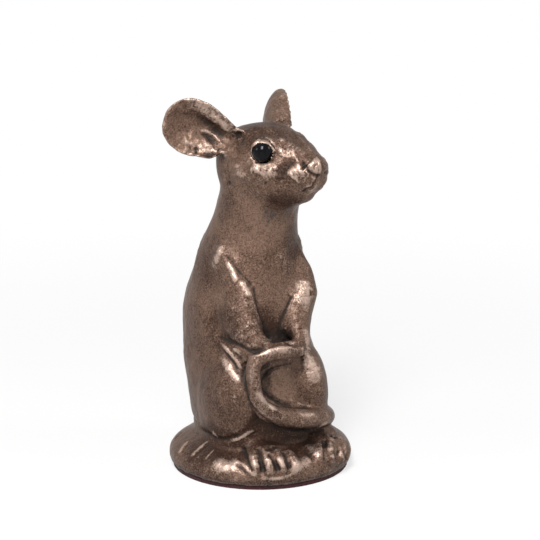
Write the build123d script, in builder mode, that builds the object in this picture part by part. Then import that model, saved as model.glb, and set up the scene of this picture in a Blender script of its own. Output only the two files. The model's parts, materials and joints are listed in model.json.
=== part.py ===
from build123d import *

import os
from math import cos, pi, radians, sin

# A mouse sitting up on a round mound, a table ornament cast in bronze-filled resin. The casting is a
# skin filled with a stone-weighted core. Two domed glass eyes sit in drilled sockets on a bed of cement,
# and a felt pad is glued underneath. Lengths are in millimetres. The origin is the middle of the pad's
# underside, the mouse's body faces -Y and its right side is at -X.

# Felt pad and the film of adhesive above it
pad_thickness = 1.1
pad_setback = 0.5
film_thickness = 0.15
film_setback = 0.9

# Casting
wall = 3.0

# Mound
mound_radius = 24.6
mound_height = 9.6

# Trunk and neck, sitting on the mound
body_height = 81.5
trunk_half_width = 17.5
trunk_half_depth = 19.2

# Belly between the haunches
belly_half_width = 9.5
belly_half_depth = 10.4

# Haunches
haunch_half_width = 8.7
haunch_half_depth = 13.0

# Front legs
arm_half_thickness = 3.3
arm_half_width = 5.6

# Ridges along the upper arms and the thigh
ridge_half_thickness = 1.5
ridge_half_width = 1.7

# Feet
instep_half_width = 6.0
instep_half_thickness = 2.3
toe_radius = 1.75

# Tail
tail_radius = 2.85

# Head, turned towards the mouse's left
head_turn = 25.0
head_length = 32.0
head_height = 24.3
head_half_width = 11.0

# Ears
ear_length = 20.4
ear_half_width = 7.85
ear_cup_depth = 5.2
ear_wall = 1.7
ear_rim = 0.9
ear_fold_half_width = 1.7
ear_fold_half_thickness = 1.0

# Glass eyes, with a pin behind each
eye_radius = 2.9
eye_girth = 0.8
eye_pin_radius = 0.7
eye_pin_length = 3.0
eye_lean = 22.0
cement_thickness = 0.25

# Length by which a cut runs past what it cuts
overrun = 1.0

casting_floor = pad_thickness + film_thickness
seat = casting_floor + mound_height

# Lofted forms are faceted, as a sculptor planes a form down: bands along it and sides around it
coarse_bands = 7
fine_bands = 9
trunk_bands = 15
tail_bands = 25
coarse_sides = 9
fine_sides = 15
trunk_sides = 26
mound_sides = 38


def smoothed(rows, bands):
    """Rows of a table at even steps along the smooth curve through the rows given."""
    smooth_rows = []
    last = len(rows) - 1
    for step in range(bands + 1):
        travel = step / bands * last
        first = min(int(travel), last - 1)
        t = travel - first
        before, start, end, after = (
            rows[min(max(first + shift, 0), last)] for shift in (-1, 0, 1, 2)
        )
        smooth_rows.append(
            tuple(
                b + t / 2 * (c - a + t * (2 * a - 5 * b + 4 * c - d + t * (3 * b - a - 3 * c + d)))
                for a, b, c, d in zip(before, start, end, after)
            )
        )
    return smooth_rows


def oval(centre, along, across, half_across, half_other, sides):
    """A many-sided oval face at a centre, square to along, with one axis nearest to across."""
    plane = Plane(origin=centre, x_dir=across - along * (across.dot(along) / along.dot(along)), z_dir=along)
    corners = [
        (half_across * cos(2 * pi * side / sides), half_other * sin(2 * pi * side / sides))
        for side in range(sides)
    ]
    with BuildSketch(plane) as section:
        with BuildLine():
            Polyline(*corners, close=True)
        make_face()
    return section.sketch


def form(sections, start=None, end=None):
    """A form lofted in bands through its sections, drawn to a point at an end where one is given."""
    sections = list(sections)
    if start is not None:
        sections.insert(0, Vertex(*start))
    if end is not None:
        sections.append(Vertex(*end))
    with BuildPart() as shape:
        loft(sections=sections, ruled=True)
    return shape.part


def limb(rows, half_across, half_other, sides, across=None):
    """A form along a path: rows of a place on the body and two shares of the half sizes.

    Where across isn't given, it points out from the body's axis.
    """
    places = [on_body(*row[:3]) for row in rows]
    sections = []
    for index, place in enumerate(places):
        ahead = places[min(index + 1, len(places) - 1)]
        behind = places[max(index - 1, 0)]
        outward = across or Vector(place.X, place.Y, 0)
        share_across, share_other = rows[index][3:]
        sections.append(
            oval(place, ahead - behind, outward, share_across * half_across, share_other * half_other, sides)
        )
    return form(sections)


def lump(centre, along, across, half_along, half_across, half_other):
    """An egg shape with its long axis along one direction."""
    sections = []
    for step in range(1, coarse_bands):
        angle = pi * step / coarse_bands
        place = centre - along * (half_along * cos(angle))
        girth = sin(angle)
        sections.append(oval(place, along, across, half_across * girth, half_other * girth, coarse_sides))
    return form(sections, start=centre - along * half_along, end=centre + along * half_along)


def on_body(across_share, forward_share, rise_share):
    """A place on the body, in shares of the trunk's half width and half depth and the body's height."""
    return Vector(
        across_share * trunk_half_width, forward_share * trunk_half_depth, seat + rise_share * body_height
    )


# Mound: a pebble, wider at a third of its height than at its foot
mound_shares = [
    # rise, radius
    (0.00, 0.972),
    (0.10, 0.993),
    (0.23, 1.000),
    (0.37, 0.982),
    (0.50, 0.935),
    (0.62, 0.855),
    (0.74, 0.750),
    (0.85, 0.630),
    (0.94, 0.480),
    (1.00, 0.300),
]
mound_foot_radius = mound_shares[0][1] * mound_radius
mound = form(
    oval(
        Vector(0, 0, casting_floor + rise * mound_height),
        Vector(0, 0, 1),
        Vector(1, 0, 0),
        radius * mound_radius,
        radius * mound_radius,
        mound_sides,
    )
    for rise, radius in mound_shares
)

# Trunk and neck
trunk_shares = [
    # across, forward (negative) and rise of the centre, girth
    (0.00, 0.11, -0.06, 0.89),
    (0.00, 0.12, 0.00, 0.96),
    (0.00, 0.17, 0.10, 1.01),
    (-0.03, 0.27, 0.20, 1.005),
    (-0.07, 0.32, 0.30, 0.96),
    (-0.07, 0.31, 0.40, 0.95),
    (-0.06, 0.27, 0.50, 0.83),
    (-0.04, 0.23, 0.60, 0.72),
    (-0.01, 0.125, 0.69, 0.62),
    (0.01, -0.01, 0.79, 0.585),
    (0.01, -0.04, 0.87, 0.42),
]


def level_sections(rows, half_width, half_depth, sides):
    """Level oval sections of a form that stands on the mound, one for each row."""
    return [
        oval(
            on_body(*row[:3]), Vector(0, 0, 1), Vector(1, 0, 0), row[3] * half_width, row[3] * half_depth, sides
        )
        for row in rows
    ]


trunk = form(
    level_sections(smoothed(trunk_shares, trunk_bands), trunk_half_width, trunk_half_depth, trunk_sides)
)

# Belly
belly_shares = [
    (-0.06, -0.19, -0.04, 0.80),
    (-0.06, -0.21, 0.05, 0.93),
    (-0.06, -0.22, 0.14, 1.00),
    (-0.06, -0.22, 0.23, 1.00),
    (-0.06, -0.20, 0.31, 0.96),
    (-0.06, -0.13, 0.36, 0.66),
]
belly = form(
    level_sections(smoothed(belly_shares, coarse_bands), belly_half_width, belly_half_depth, fine_sides)
)

# Haunches, the mouse's right one spread a little wider than its left one
haunch_shares = [
    (0.54, -0.13, -0.05, 0.80),
    (0.55, -0.15, 0.04, 0.93),
    (0.56, -0.17, 0.11, 1.00),
    (0.54, -0.17, 0.185, 0.96),
    (0.50, -0.13, 0.25, 0.80),
    (0.43, -0.06, 0.29, 0.55),
    (0.37, 0.02, 0.31, 0.28),
]
right_haunch_share = -1.0
left_haunch_share = 0.89
haunches = []
for side_share in (right_haunch_share, left_haunch_share):
    haunch_rows = [(row[0] * side_share, *row[1:]) for row in smoothed(haunch_shares, fine_bands)]
    half_width = haunch_half_width * abs(side_share)
    haunches.append(form(level_sections(haunch_rows, half_width, haunch_half_depth, fine_sides)))

# Front legs, from the shoulder to the paw that holds the tail
right_arm_shares = [
    (-0.66, -0.03, 0.610, 0.35, 0.25),
    (-0.68, -0.11, 0.580, 0.50, 0.36),
    (-0.62, -0.22, 0.540, 0.65, 0.62),
    (-0.57, -0.39, 0.453, 0.88, 0.92),
    (-0.54, -0.49, 0.376, 1.00, 1.06),
    (-0.50, -0.68, 0.330, 0.95, 0.80),
    (-0.40, -0.80, 0.316, 0.75, 0.60),
    (-0.27, -0.86, 0.318, 0.50, 0.40),
]
left_arm_shares = [
    (0.52, -0.19, 0.590, 0.35, 0.25),
    (0.53, -0.25, 0.560, 0.50, 0.36),
    (0.54, -0.29, 0.530, 0.68, 0.52),
    (0.56, -0.40, 0.460, 1.00, 0.76),
    (0.38, -0.53, 0.395, 0.94, 0.80),
    (0.28, -0.70, 0.345, 0.82, 0.66),
    (0.26, -0.80, 0.320, 0.66, 0.48),
    (0.21, -0.88, 0.312, 0.45, 0.36),
]
arms = [
    limb(smoothed(right_arm_shares, fine_bands), arm_half_thickness, arm_half_width, fine_sides),
    limb(smoothed(left_arm_shares, fine_bands), arm_half_thickness, arm_half_width, fine_sides),
]

# Ridges: the front edge of the right upper arm, the inner edge of the left one, the right thigh's edge
# and the fold of skin between that thigh and the arm
ridge_shares = [
    [
        (-0.66, -0.14, 0.605, 0.50, 0.70),
        (-0.60, -0.30, 0.560, 0.80, 1.00),
        (-0.48, -0.44, 0.495, 0.90, 1.15),
        (-0.41, -0.58, 0.430, 0.95, 1.20),
        (-0.36, -0.64, 0.360, 0.80, 1.00),
    ],
    [
        (0.48, -0.31, 0.545, 0.60, 0.80),
        (0.36, -0.44, 0.484, 0.95, 1.20),
        (0.21, -0.55, 0.427, 1.00, 1.40),
        (0.13, -0.59, 0.366, 0.95, 1.30),
        (0.10, -0.66, 0.330, 0.80, 1.10),
    ],
    [
        (-0.82, -0.17, 0.322, 0.45, 0.45),
        (-0.75, -0.37, 0.290, 0.80, 0.80),
        (-0.68, -0.54, 0.250, 0.90, 0.90),
        (-0.62, -0.68, 0.200, 0.80, 0.80),
    ],
    [
        (-0.70, -0.26, 0.322, 1.20, 1.20),
        (-0.61, -0.46, 0.294, 1.80, 1.80),
        (-0.53, -0.64, 0.258, 1.70, 1.70),
    ],
]
ridges = [
    limb(smoothed(rows, coarse_bands), ridge_half_thickness, ridge_half_width, coarse_sides)
    for rows in ridge_shares
]

# Tail, round the mouse's left side and across the lap into its paws
tail_shares = [
    (0.12, 0.98, 0.021, 0.94, 0.94),
    (0.53, 0.88, 0.018, 0.94, 0.94),
    (0.83, 0.61, 0.018, 0.93, 0.93),
    (0.96, 0.21, 0.018, 0.90, 0.90),
    (0.94, -0.21, 0.022, 0.88, 0.88),
    (0.83, -0.53, 0.034, 0.88, 0.88),
    (0.67, -0.75, 0.049, 0.92, 0.92),
    (0.39, -0.90, 0.062, 0.97, 0.97),
    (0.01, -0.96, 0.077, 1.00, 1.00),
    (-0.33, -0.97, 0.106, 0.94, 0.94),
    (-0.55, -0.94, 0.148, 0.84, 0.84),
    (-0.64, -0.89, 0.197, 0.77, 0.77),
    (-0.64, -0.85, 0.245, 0.76, 0.76),
    (-0.53, -0.85, 0.281, 0.80, 0.80),
    (-0.31, -0.88, 0.296, 0.85, 0.85),
    (-0.06, -0.90, 0.300, 0.87, 0.87),
    (0.22, -0.87, 0.298, 0.84, 0.84),
]
tail = limb(smoothed(tail_shares, tail_bands), tail_radius, tail_radius, coarse_sides)

# Feet: an instep and four toes each, pressed into the mound's edge
instep_shares = [
    # across, forward, rise, half width, half thickness; for the mouse's right foot, then its left
    [(-0.33, -0.38, 0.000, 0.70, 1.00), (-0.31, -0.72, -0.008, 0.97, 0.92), (-0.29, -0.91, -0.026, 0.93, 0.62)],
    [(0.52, -0.34, 0.000, 0.70, 1.00), (0.64, -0.60, -0.008, 0.93, 0.92), (0.73, -0.77, -0.026, 0.88, 0.62)],
]
instep_across_shares = ((1, 0, 0), (1, 0.35, 0))
insteps = []
for rows, across_shares in zip(instep_shares, instep_across_shares):
    across = Vector(*across_shares)
    insteps.append(limb(rows, instep_half_width, instep_half_thickness, fine_sides, across))

toe_shares = [
    # root, knuckle and tip, each across, forward and rise, in shares of the mound's radius and height
    ((-0.38, -0.62, 0.82), (-0.44, -0.78, 0.66), (-0.46, -0.875, 0.42)),
    ((-0.28, -0.70, 0.82), (-0.31, -0.86, 0.62), (-0.31, -0.94, 0.36)),
    ((-0.17, -0.76, 0.80), (-0.175, -0.90, 0.61), (-0.165, -0.965, 0.40)),
    ((-0.055, -0.79, 0.78), (-0.04, -0.915, 0.61), (-0.02, -0.975, 0.42)),
    ((0.33, -0.72, 0.78), (0.30, -0.86, 0.62), (0.275, -0.93, 0.44)),
    ((0.52, -0.63, 0.76), (0.46, -0.80, 0.60), (0.41, -0.90, 0.38)),
    ((0.65, -0.59, 0.70), (0.61, -0.74, 0.52), (0.58, -0.815, 0.30)),
    ((0.72, -0.55, 0.60), (0.71, -0.65, 0.42), (0.69, -0.70, 0.24)),
]
toe_girth_shares = (0.95, 1.0, 0.66)
toes = []
for places in toe_shares:
    root, knuckle, tip = (
        Vector(
            place[0] * mound_radius, place[1] * mound_radius, casting_floor + place[2] * mound_height
        )
        for place in places
    )
    girths = [share * toe_radius for share in toe_girth_shares]
    toe_along = (knuckle - root, tip - root, tip - knuckle)
    toes.append(
        form(
            [
                oval(place, along, Vector(1, 0, 0), girth, girth, coarse_sides)
                for place, along, girth in zip((root, knuckle, tip), toe_along, girths)
            ],
            end=tip + (tip - knuckle).normalized() * girths[-1],
        )
    )

# Head
forward = Vector(sin(radians(head_turn)), -cos(radians(head_turn)), 0)
rightward = Vector(-cos(radians(head_turn)), -sin(radians(head_turn)), 0)
upward = Vector(0, 0, 1)
head_floor = seat + body_height - head_height
head_axis_share = -0.055


def on_head(forward_share, right_share, rise_share):
    """A place on the head, in shares of its length, half width and height from the neck's axis."""
    return (
        Vector(0, head_axis_share * trunk_half_depth, head_floor)
        + forward * (forward_share * head_length)
        + rightward * (right_share * head_half_width)
        + upward * (rise_share * head_height)
    )


head_shares = [
    # forward, bottom, top, half width
    (-0.335, 0.30, 0.80, 0.56),
    (-0.27, 0.16, 0.90, 0.76),
    (-0.16, 0.06, 0.96, 0.88),
    (0.00, 0.00, 1.00, 0.96),
    (0.16, 0.00, 1.00, 1.00),
    (0.28, 0.06, 0.935, 0.93),
    (0.39, 0.16, 0.855, 0.75),
    (0.485, 0.27, 0.78, 0.59),
    (0.565, 0.37, 0.72, 0.43),
    (0.620, 0.47, 0.70, 0.28),
]
head_back_shares = (-0.365, 0, 0.54)
head_front_shares = (0.64, 0, 0.60)
head = form(
    [
        oval(
            on_head(along_share, 0, (bottom + top) / 2),
            forward,
            rightward,
            half_width * head_half_width,
            (top - bottom) / 2 * head_height,
            fine_sides,
        )
        for along_share, bottom, top, half_width in smoothed(head_shares, fine_bands)
    ],
    start=on_head(*head_back_shares),
    end=on_head(*head_front_shares),
)

# Modelling on the head: forward, sideways and rise of the middle, then half length, width and height
face_shares = {
    "nose": (0.590, 0.00, 0.612, 0.060, 0.19, 0.062),
    "muzzle": (0.500, 0.18, 0.465, 0.135, 0.29, 0.150),
    "chin": (0.385, 0.00, 0.285, 0.148, 0.37, 0.113),
    "brow": (0.220, 0.48, 0.845, 0.120, 0.26, 0.058),
}
left_side_share = -0.78
face_lumps = []
for name, (along_share, side_share, rise_share, *half_shares) in face_shares.items():
    for side in (1, left_side_share) if side_share else (1,):
        face_lumps.append(
            lump(
                on_head(along_share, side * side_share, rise_share),
                forward,
                rightward,
                half_shares[0] * head_length,
                half_shares[1] * head_half_width,
                half_shares[2] * head_height,
            )
        )

# Ears: thin cups, each with its own set
ear_shares = [
    # travel from root to tip, half width, cup depth
    (-0.06, 0.42, 0.75),
    (0.12, 0.50, 0.92),
    (0.34, 0.82, 1.00),
    (0.58, 1.00, 0.94),
    (0.80, 0.88, 0.72),
    (0.93, 0.60, 0.45),
    (0.99, 0.30, 0.36),
]


# Folds inside the ear: how far round the cup from its upper edge each one runs
ear_fold_shares = (0.27, 0.70)


def ear(root, along, facing, upper, size_share):
    """One cupped ear with two folds inside: crescents lofted from the root to the tip.

    It is open towards facing. Upper is 1 or -1, by the side of the cup that is uppermost.
    """
    along = along.normalized()
    facing = (facing - along * facing.dot(along)).normalized()
    sections = []
    folds = [[] for turn_share in ear_fold_shares]
    for travel, width_share, depth_share in smoothed(ear_shares, coarse_bands):
        half_width = width_share * size_share * ear_half_width
        depth = depth_share * size_share * ear_cup_depth
        plane = Plane(
            origin=root + along * (travel * size_share * ear_length), x_dir=facing.cross(along), z_dir=along
        )
        inner_half_width = half_width - ear_rim
        inner_depth = depth - ear_wall
        turns = [pi * turn / coarse_sides for turn in range(coarse_sides + 1)]
        outer = [(-half_width * cos(turn), -depth * sin(turn)) for turn in turns]
        inner = [(inner_half_width * cos(turn), -inner_depth * sin(turn)) for turn in turns]
        with BuildSketch(plane) as section:
            with BuildLine():
                Polyline(*outer, *inner, close=True)
            make_face()
        sections.append(section.sketch)
        fold_girth = sin(pi * min(max(travel, 0), 1)) ** 0.5
        if fold_girth > 0:
            for fold, turn_share in zip(folds, ear_fold_shares):
                across = plane.x_dir * (upper * inner_half_width * cos(pi * turn_share))
                place = plane.origin + across - facing * (inner_depth * sin(pi * turn_share))
                fold_half_width = fold_girth * ear_fold_half_width
                fold_half_thickness = fold_girth * ear_fold_half_thickness
                fold.append(
                    oval(place, along, plane.x_dir, fold_half_width, fold_half_thickness, coarse_sides)
                )
    return [form(sections), *(form(fold) for fold in folds)]


right_ear_shares = ((-0.71, 0.60, 0.30), (0.66, 0.74, 0.10))
left_ear_shares = ((-0.97, -0.77, 0.235), (1.0, -1.58, -0.19))
right_ear_root_shares = (-0.03, 0.73, 0.82)
left_ear_root_shares = (0.040, -0.985, 0.780)
left_ear_size_share = 1.08
ears = []
for root, (along_shares, facing_shares), upper, size_share in (
    (on_head(*right_ear_root_shares), right_ear_shares, -1, 1),
    (on_head(*left_ear_root_shares), left_ear_shares, 1, left_ear_size_share),
):
    along, facing = (
        forward * shares[0] + rightward * shares[1] + upward * shares[2]
        for shares in (along_shares, facing_shares)
    )
    ears.extend(ear(root, along, facing, upper, size_share))

# Core: a block in the mound and a column up to the neck
core_top_share = 0.65
core_shares = [row for row in trunk_shares if 0 <= row[2] < core_top_share]
core_foot_radius = mound_foot_radius - wall
core_shoulder_share = 0.45
core_shoulder = casting_floor + core_shoulder_share * mound_height
core_scale_share = 1 - wall / trunk_half_width
trunk_slimness = trunk_half_width / trunk_half_depth
core_foot = [
    oval(Vector(0, 0, level), upward, Vector(1, 0, 0), radius * trunk_slimness, radius, coarse_sides)
    for level, radius in (
        (casting_floor, core_foot_radius),
        (core_shoulder, core_foot_radius - wall / 2),
    )
]
core_column = level_sections(
    core_shares, core_scale_share * trunk_half_width, core_scale_share * trunk_half_depth, coarse_sides
)
with BuildPart() as core_fill:
    add(form(core_foot + core_column))

# Eyes: where each sits and the way it looks
right_eye_shares = (0.22, 0.71, 0.755)
left_eye_shares = (0.20, -0.60, 0.74)
eye_places = {}
for side, name, eye_shares in ((1, "right", right_eye_shares), (-1, "left", left_eye_shares)):
    looking = rightward * (side * cos(radians(eye_lean))) + forward * sin(radians(eye_lean))
    eye_places[name] = Plane(origin=on_head(*eye_shares), x_dir=upward, z_dir=looking)


eyes = {}
sockets = {}
cements = {}
for name, place in eye_places.items():
    half_plane = Plane(origin=place.origin, x_dir=place.x_dir, z_dir=place.x_dir.cross(place.z_dir))
    pin_end = -eye_girth - eye_pin_length
    with BuildPart() as eye:
        with BuildSketch(half_plane):
            with BuildLine():
                CenterArc((0, 0), eye_radius, 0, 90)
                Line((0, eye_radius), (0, pin_end))
                Line((0, pin_end), (eye_pin_radius, pin_end))
                Line((eye_pin_radius, pin_end), (eye_pin_radius, -eye_girth))
                Line((eye_pin_radius, -eye_girth), (eye_radius, -eye_girth))
                Line((eye_radius, -eye_girth), (eye_radius, 0))
            make_face()
        revolve(axis=Axis(place.origin, place.z_dir))
    eyes[name] = eye.part

    socket_radius = eye_radius + cement_thickness
    socket_floor = -eye_girth - cement_thickness
    bore_radius = eye_pin_radius + cement_thickness
    bore_end = pin_end - cement_thickness
    bed = {}
    for key, mouth in (("socket", eye_radius + overrun), ("cement", 0)):
        with BuildPart() as bored:
            with BuildSketch(half_plane):
                with BuildLine():
                    Polyline(
                        (0, mouth),
                        (socket_radius, mouth),
                        (socket_radius, socket_floor),
                        (bore_radius, socket_floor),
                        (bore_radius, bore_end),
                        (0, bore_end),
                        close=True,
                    )
                make_face()
            revolve(axis=Axis(place.origin, place.z_dir))
        bed[key] = bored.part
    sockets[name] = bed["socket"]
    cements[name] = bed["cement"]

# Bronze skin
with BuildPart() as bronze_shell:
    add([mound, trunk, belly, *haunches, *arms, *ridges, *insteps, *toes, tail, head, *face_lumps, *ears])
    add([core_fill.part, *sockets.values()], mode=Mode.SUBTRACT)

with BuildPart() as eye_cement_right:
    add(cements["right"])
    add(eyes["right"], mode=Mode.SUBTRACT)

with BuildPart() as eye_cement_left:
    add(cements["left"])
    add(eyes["left"], mode=Mode.SUBTRACT)

with BuildPart() as eye_right:
    add(eyes["right"])

with BuildPart() as eye_left:
    add(eyes["left"])

# Pad and adhesive
with BuildPart() as felt_pad:
    with BuildSketch():
        Circle(mound_foot_radius - pad_setback)
    extrude(amount=pad_thickness)

with BuildPart() as pad_adhesive:
    with BuildSketch(Plane.XY.offset(pad_thickness)):
        Circle(mound_foot_radius - film_setback)
    extrude(amount=film_thickness)

nodes = {
    "bronze_shell": bronze_shell,
    "core_fill": core_fill,
    "eye_right": eye_right,
    "eye_left": eye_left,
    "eye_cement_right": eye_cement_right,
    "eye_cement_left": eye_cement_left,
    "pad_adhesive": pad_adhesive,
    "felt_pad": felt_pad,
}
os.makedirs("parts", exist_ok=True)
for label, node in nodes.items():
    node.part.label = label
    export_step(node.part, "parts/" + label + ".step")
    print(label, len(node.part.solids()), "solid,", round(node.part.volume), "mm3")
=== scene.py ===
"""Dresses the mouse figurine: a casting in bronze-filled resin, with glass eyes and a felt pad.

The casting starts as a copy of the skin's solid. It is worked like clay, in millimetres: facets and
joins are softened, then folds, ridges and marks are pressed in with modelling strokes. Strokes on the
side that the photograph shows are written in its pixels, and the others as places in millimetres.
"""

from __future__ import annotations

import json
import logging
import math
import sys
from collections.abc import Iterator
from dataclasses import dataclass, replace
from enum import Enum

import bmesh
import bpy
import numpy as np
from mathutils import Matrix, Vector, noise
from mathutils.bvhtree import BVHTree

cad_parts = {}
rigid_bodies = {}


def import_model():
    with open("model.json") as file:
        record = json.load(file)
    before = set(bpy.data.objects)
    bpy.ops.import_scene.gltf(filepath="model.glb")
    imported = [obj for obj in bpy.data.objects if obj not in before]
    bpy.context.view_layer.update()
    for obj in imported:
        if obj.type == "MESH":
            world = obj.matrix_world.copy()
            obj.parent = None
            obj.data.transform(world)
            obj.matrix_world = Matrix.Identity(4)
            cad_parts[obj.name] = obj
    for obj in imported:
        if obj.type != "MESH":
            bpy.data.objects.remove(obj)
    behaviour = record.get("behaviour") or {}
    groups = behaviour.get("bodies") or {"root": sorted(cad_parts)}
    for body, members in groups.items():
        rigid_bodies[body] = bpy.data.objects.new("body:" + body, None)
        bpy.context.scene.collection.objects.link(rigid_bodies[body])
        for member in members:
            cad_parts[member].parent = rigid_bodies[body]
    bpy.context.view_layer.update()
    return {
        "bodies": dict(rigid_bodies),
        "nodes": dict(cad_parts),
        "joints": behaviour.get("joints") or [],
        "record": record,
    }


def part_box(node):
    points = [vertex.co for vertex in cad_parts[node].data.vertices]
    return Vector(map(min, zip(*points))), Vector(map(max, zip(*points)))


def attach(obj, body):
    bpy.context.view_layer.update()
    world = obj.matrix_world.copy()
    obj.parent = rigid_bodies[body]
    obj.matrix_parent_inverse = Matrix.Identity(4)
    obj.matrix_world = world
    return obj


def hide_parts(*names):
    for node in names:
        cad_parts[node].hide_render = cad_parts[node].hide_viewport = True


MILLIMETRE = 0.001
BODY = "root"
Colour = tuple[float, float, float]
Path = tuple[tuple[float, ...], ...]
log = logging.getLogger("mouse figurine")


# Viewpoint


@dataclass(frozen=True)
class Viewpoint:
    """Where the photograph was taken from, in degrees, millimetres and pixels."""

    azimuth: float = -25.0
    elevation: float = 14.0
    distance: float = 550.0
    target: tuple[float, float, float] = (2.36, -1.1, 52.6)
    pixel_size: float = 0.2625
    frame: int = 540
    sensor: float = 36.0

    @property
    def lens(self) -> float:
        """The focal length that gives the pixel size at the target."""
        return self.sensor * self.distance / (self.frame * self.pixel_size)

    def axes(self) -> tuple[Vector, Vector, Vector]:
        """The view's directions.

        Returns:
            Its right, up and back.
        """
        a, e = math.radians(self.azimuth), math.radians(self.elevation)
        back = Vector((math.sin(a) * math.cos(e), -math.cos(a) * math.cos(e), math.sin(e)))
        right = Vector((math.cos(a), math.sin(a), 0))
        return right, back.cross(right), back

    def position(self) -> Vector:
        """The camera's place in millimetres."""
        return Vector(self.target) + self.axes()[2] * self.distance

    def ray(self, pixel: tuple[float, float]) -> tuple[Vector, Vector]:
        """The line of sight through a pixel.

        Args:
            pixel: Its place from the photograph's top left corner.

        Returns:
            The camera's place and the direction, in millimetres.
        """
        right, up, back = self.axes()
        reach = self.lens / self.sensor * self.frame
        across, down = (value - self.frame / 2 for value in pixel)
        return self.position(), (right * across / reach - up * down / reach - back).normalized()

    def make_camera(self) -> None:
        """Adds the camera and sets it as the scene's own."""
        lens = bpy.data.cameras.new("camera")
        lens.lens = self.lens
        lens.sensor_width = self.sensor
        camera = bpy.data.objects.new("camera", lens)
        bpy.context.scene.collection.objects.link(camera)
        camera.location = self.position() * MILLIMETRE
        camera.rotation_euler = (-self.axes()[2]).to_track_quat("-Z", "Y").to_euler()
        bpy.context.scene.camera = camera


VIEW = Viewpoint()


# Shader nodes


class Shade:
    """A socket's value, with Python's operators for shader maths."""

    def __init__(self, bench: Bench, socket: bpy.types.NodeSocket) -> None:
        """Holds a socket of a material under work."""
        self.bench = bench
        self.socket = socket

    def __add__(self, other: Shade | float) -> Shade:
        """Sum."""
        return self.bench.maths("ADD", self, other)

    def __sub__(self, other: Shade | float) -> Shade:
        """Difference."""
        return self.bench.maths("SUBTRACT", self, other)

    def __mul__(self, other: Shade | float) -> Shade:
        """Product."""
        return self.bench.maths("MULTIPLY", self, other)

    def __radd__(self, other: float) -> Shade:
        """Sum with a number on the left."""
        return self.bench.maths("ADD", other, self)

    def __rsub__(self, other: float) -> Shade:
        """Difference from a number."""
        return self.bench.maths("SUBTRACT", other, self)

    def clamped(self) -> Shade:
        """The value held between nought and one."""
        return self.bench.maths("ADD", self, 0.0, use_clamp=True)

    def ramp(self, low: float, high: float) -> Shade:
        """The value as a smooth step.

        Args:
            low: Where the step starts, at nought.
            high: Where it ends, at one.

        Returns:
            The stepped value.
        """
        settings = {"interpolation_type": "SMOOTHSTEP"}
        sockets = {"Value": self, "From Min": low, "From Max": high}
        return self.bench.add("ShaderNodeMapRange", settings, sockets)["Result"]


class Outputs:
    """A node's outputs, looked up by name."""

    def __init__(self, bench: Bench, node: bpy.types.Node) -> None:
        """Holds a node of a material under work."""
        self.bench = bench
        self.node = node

    def __getitem__(self, name: str) -> Shade:
        """The enabled output of that name."""
        found = [socket for socket in self.node.outputs if socket.name == name and socket.enabled]
        return Shade(self.bench, found[0])


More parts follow.
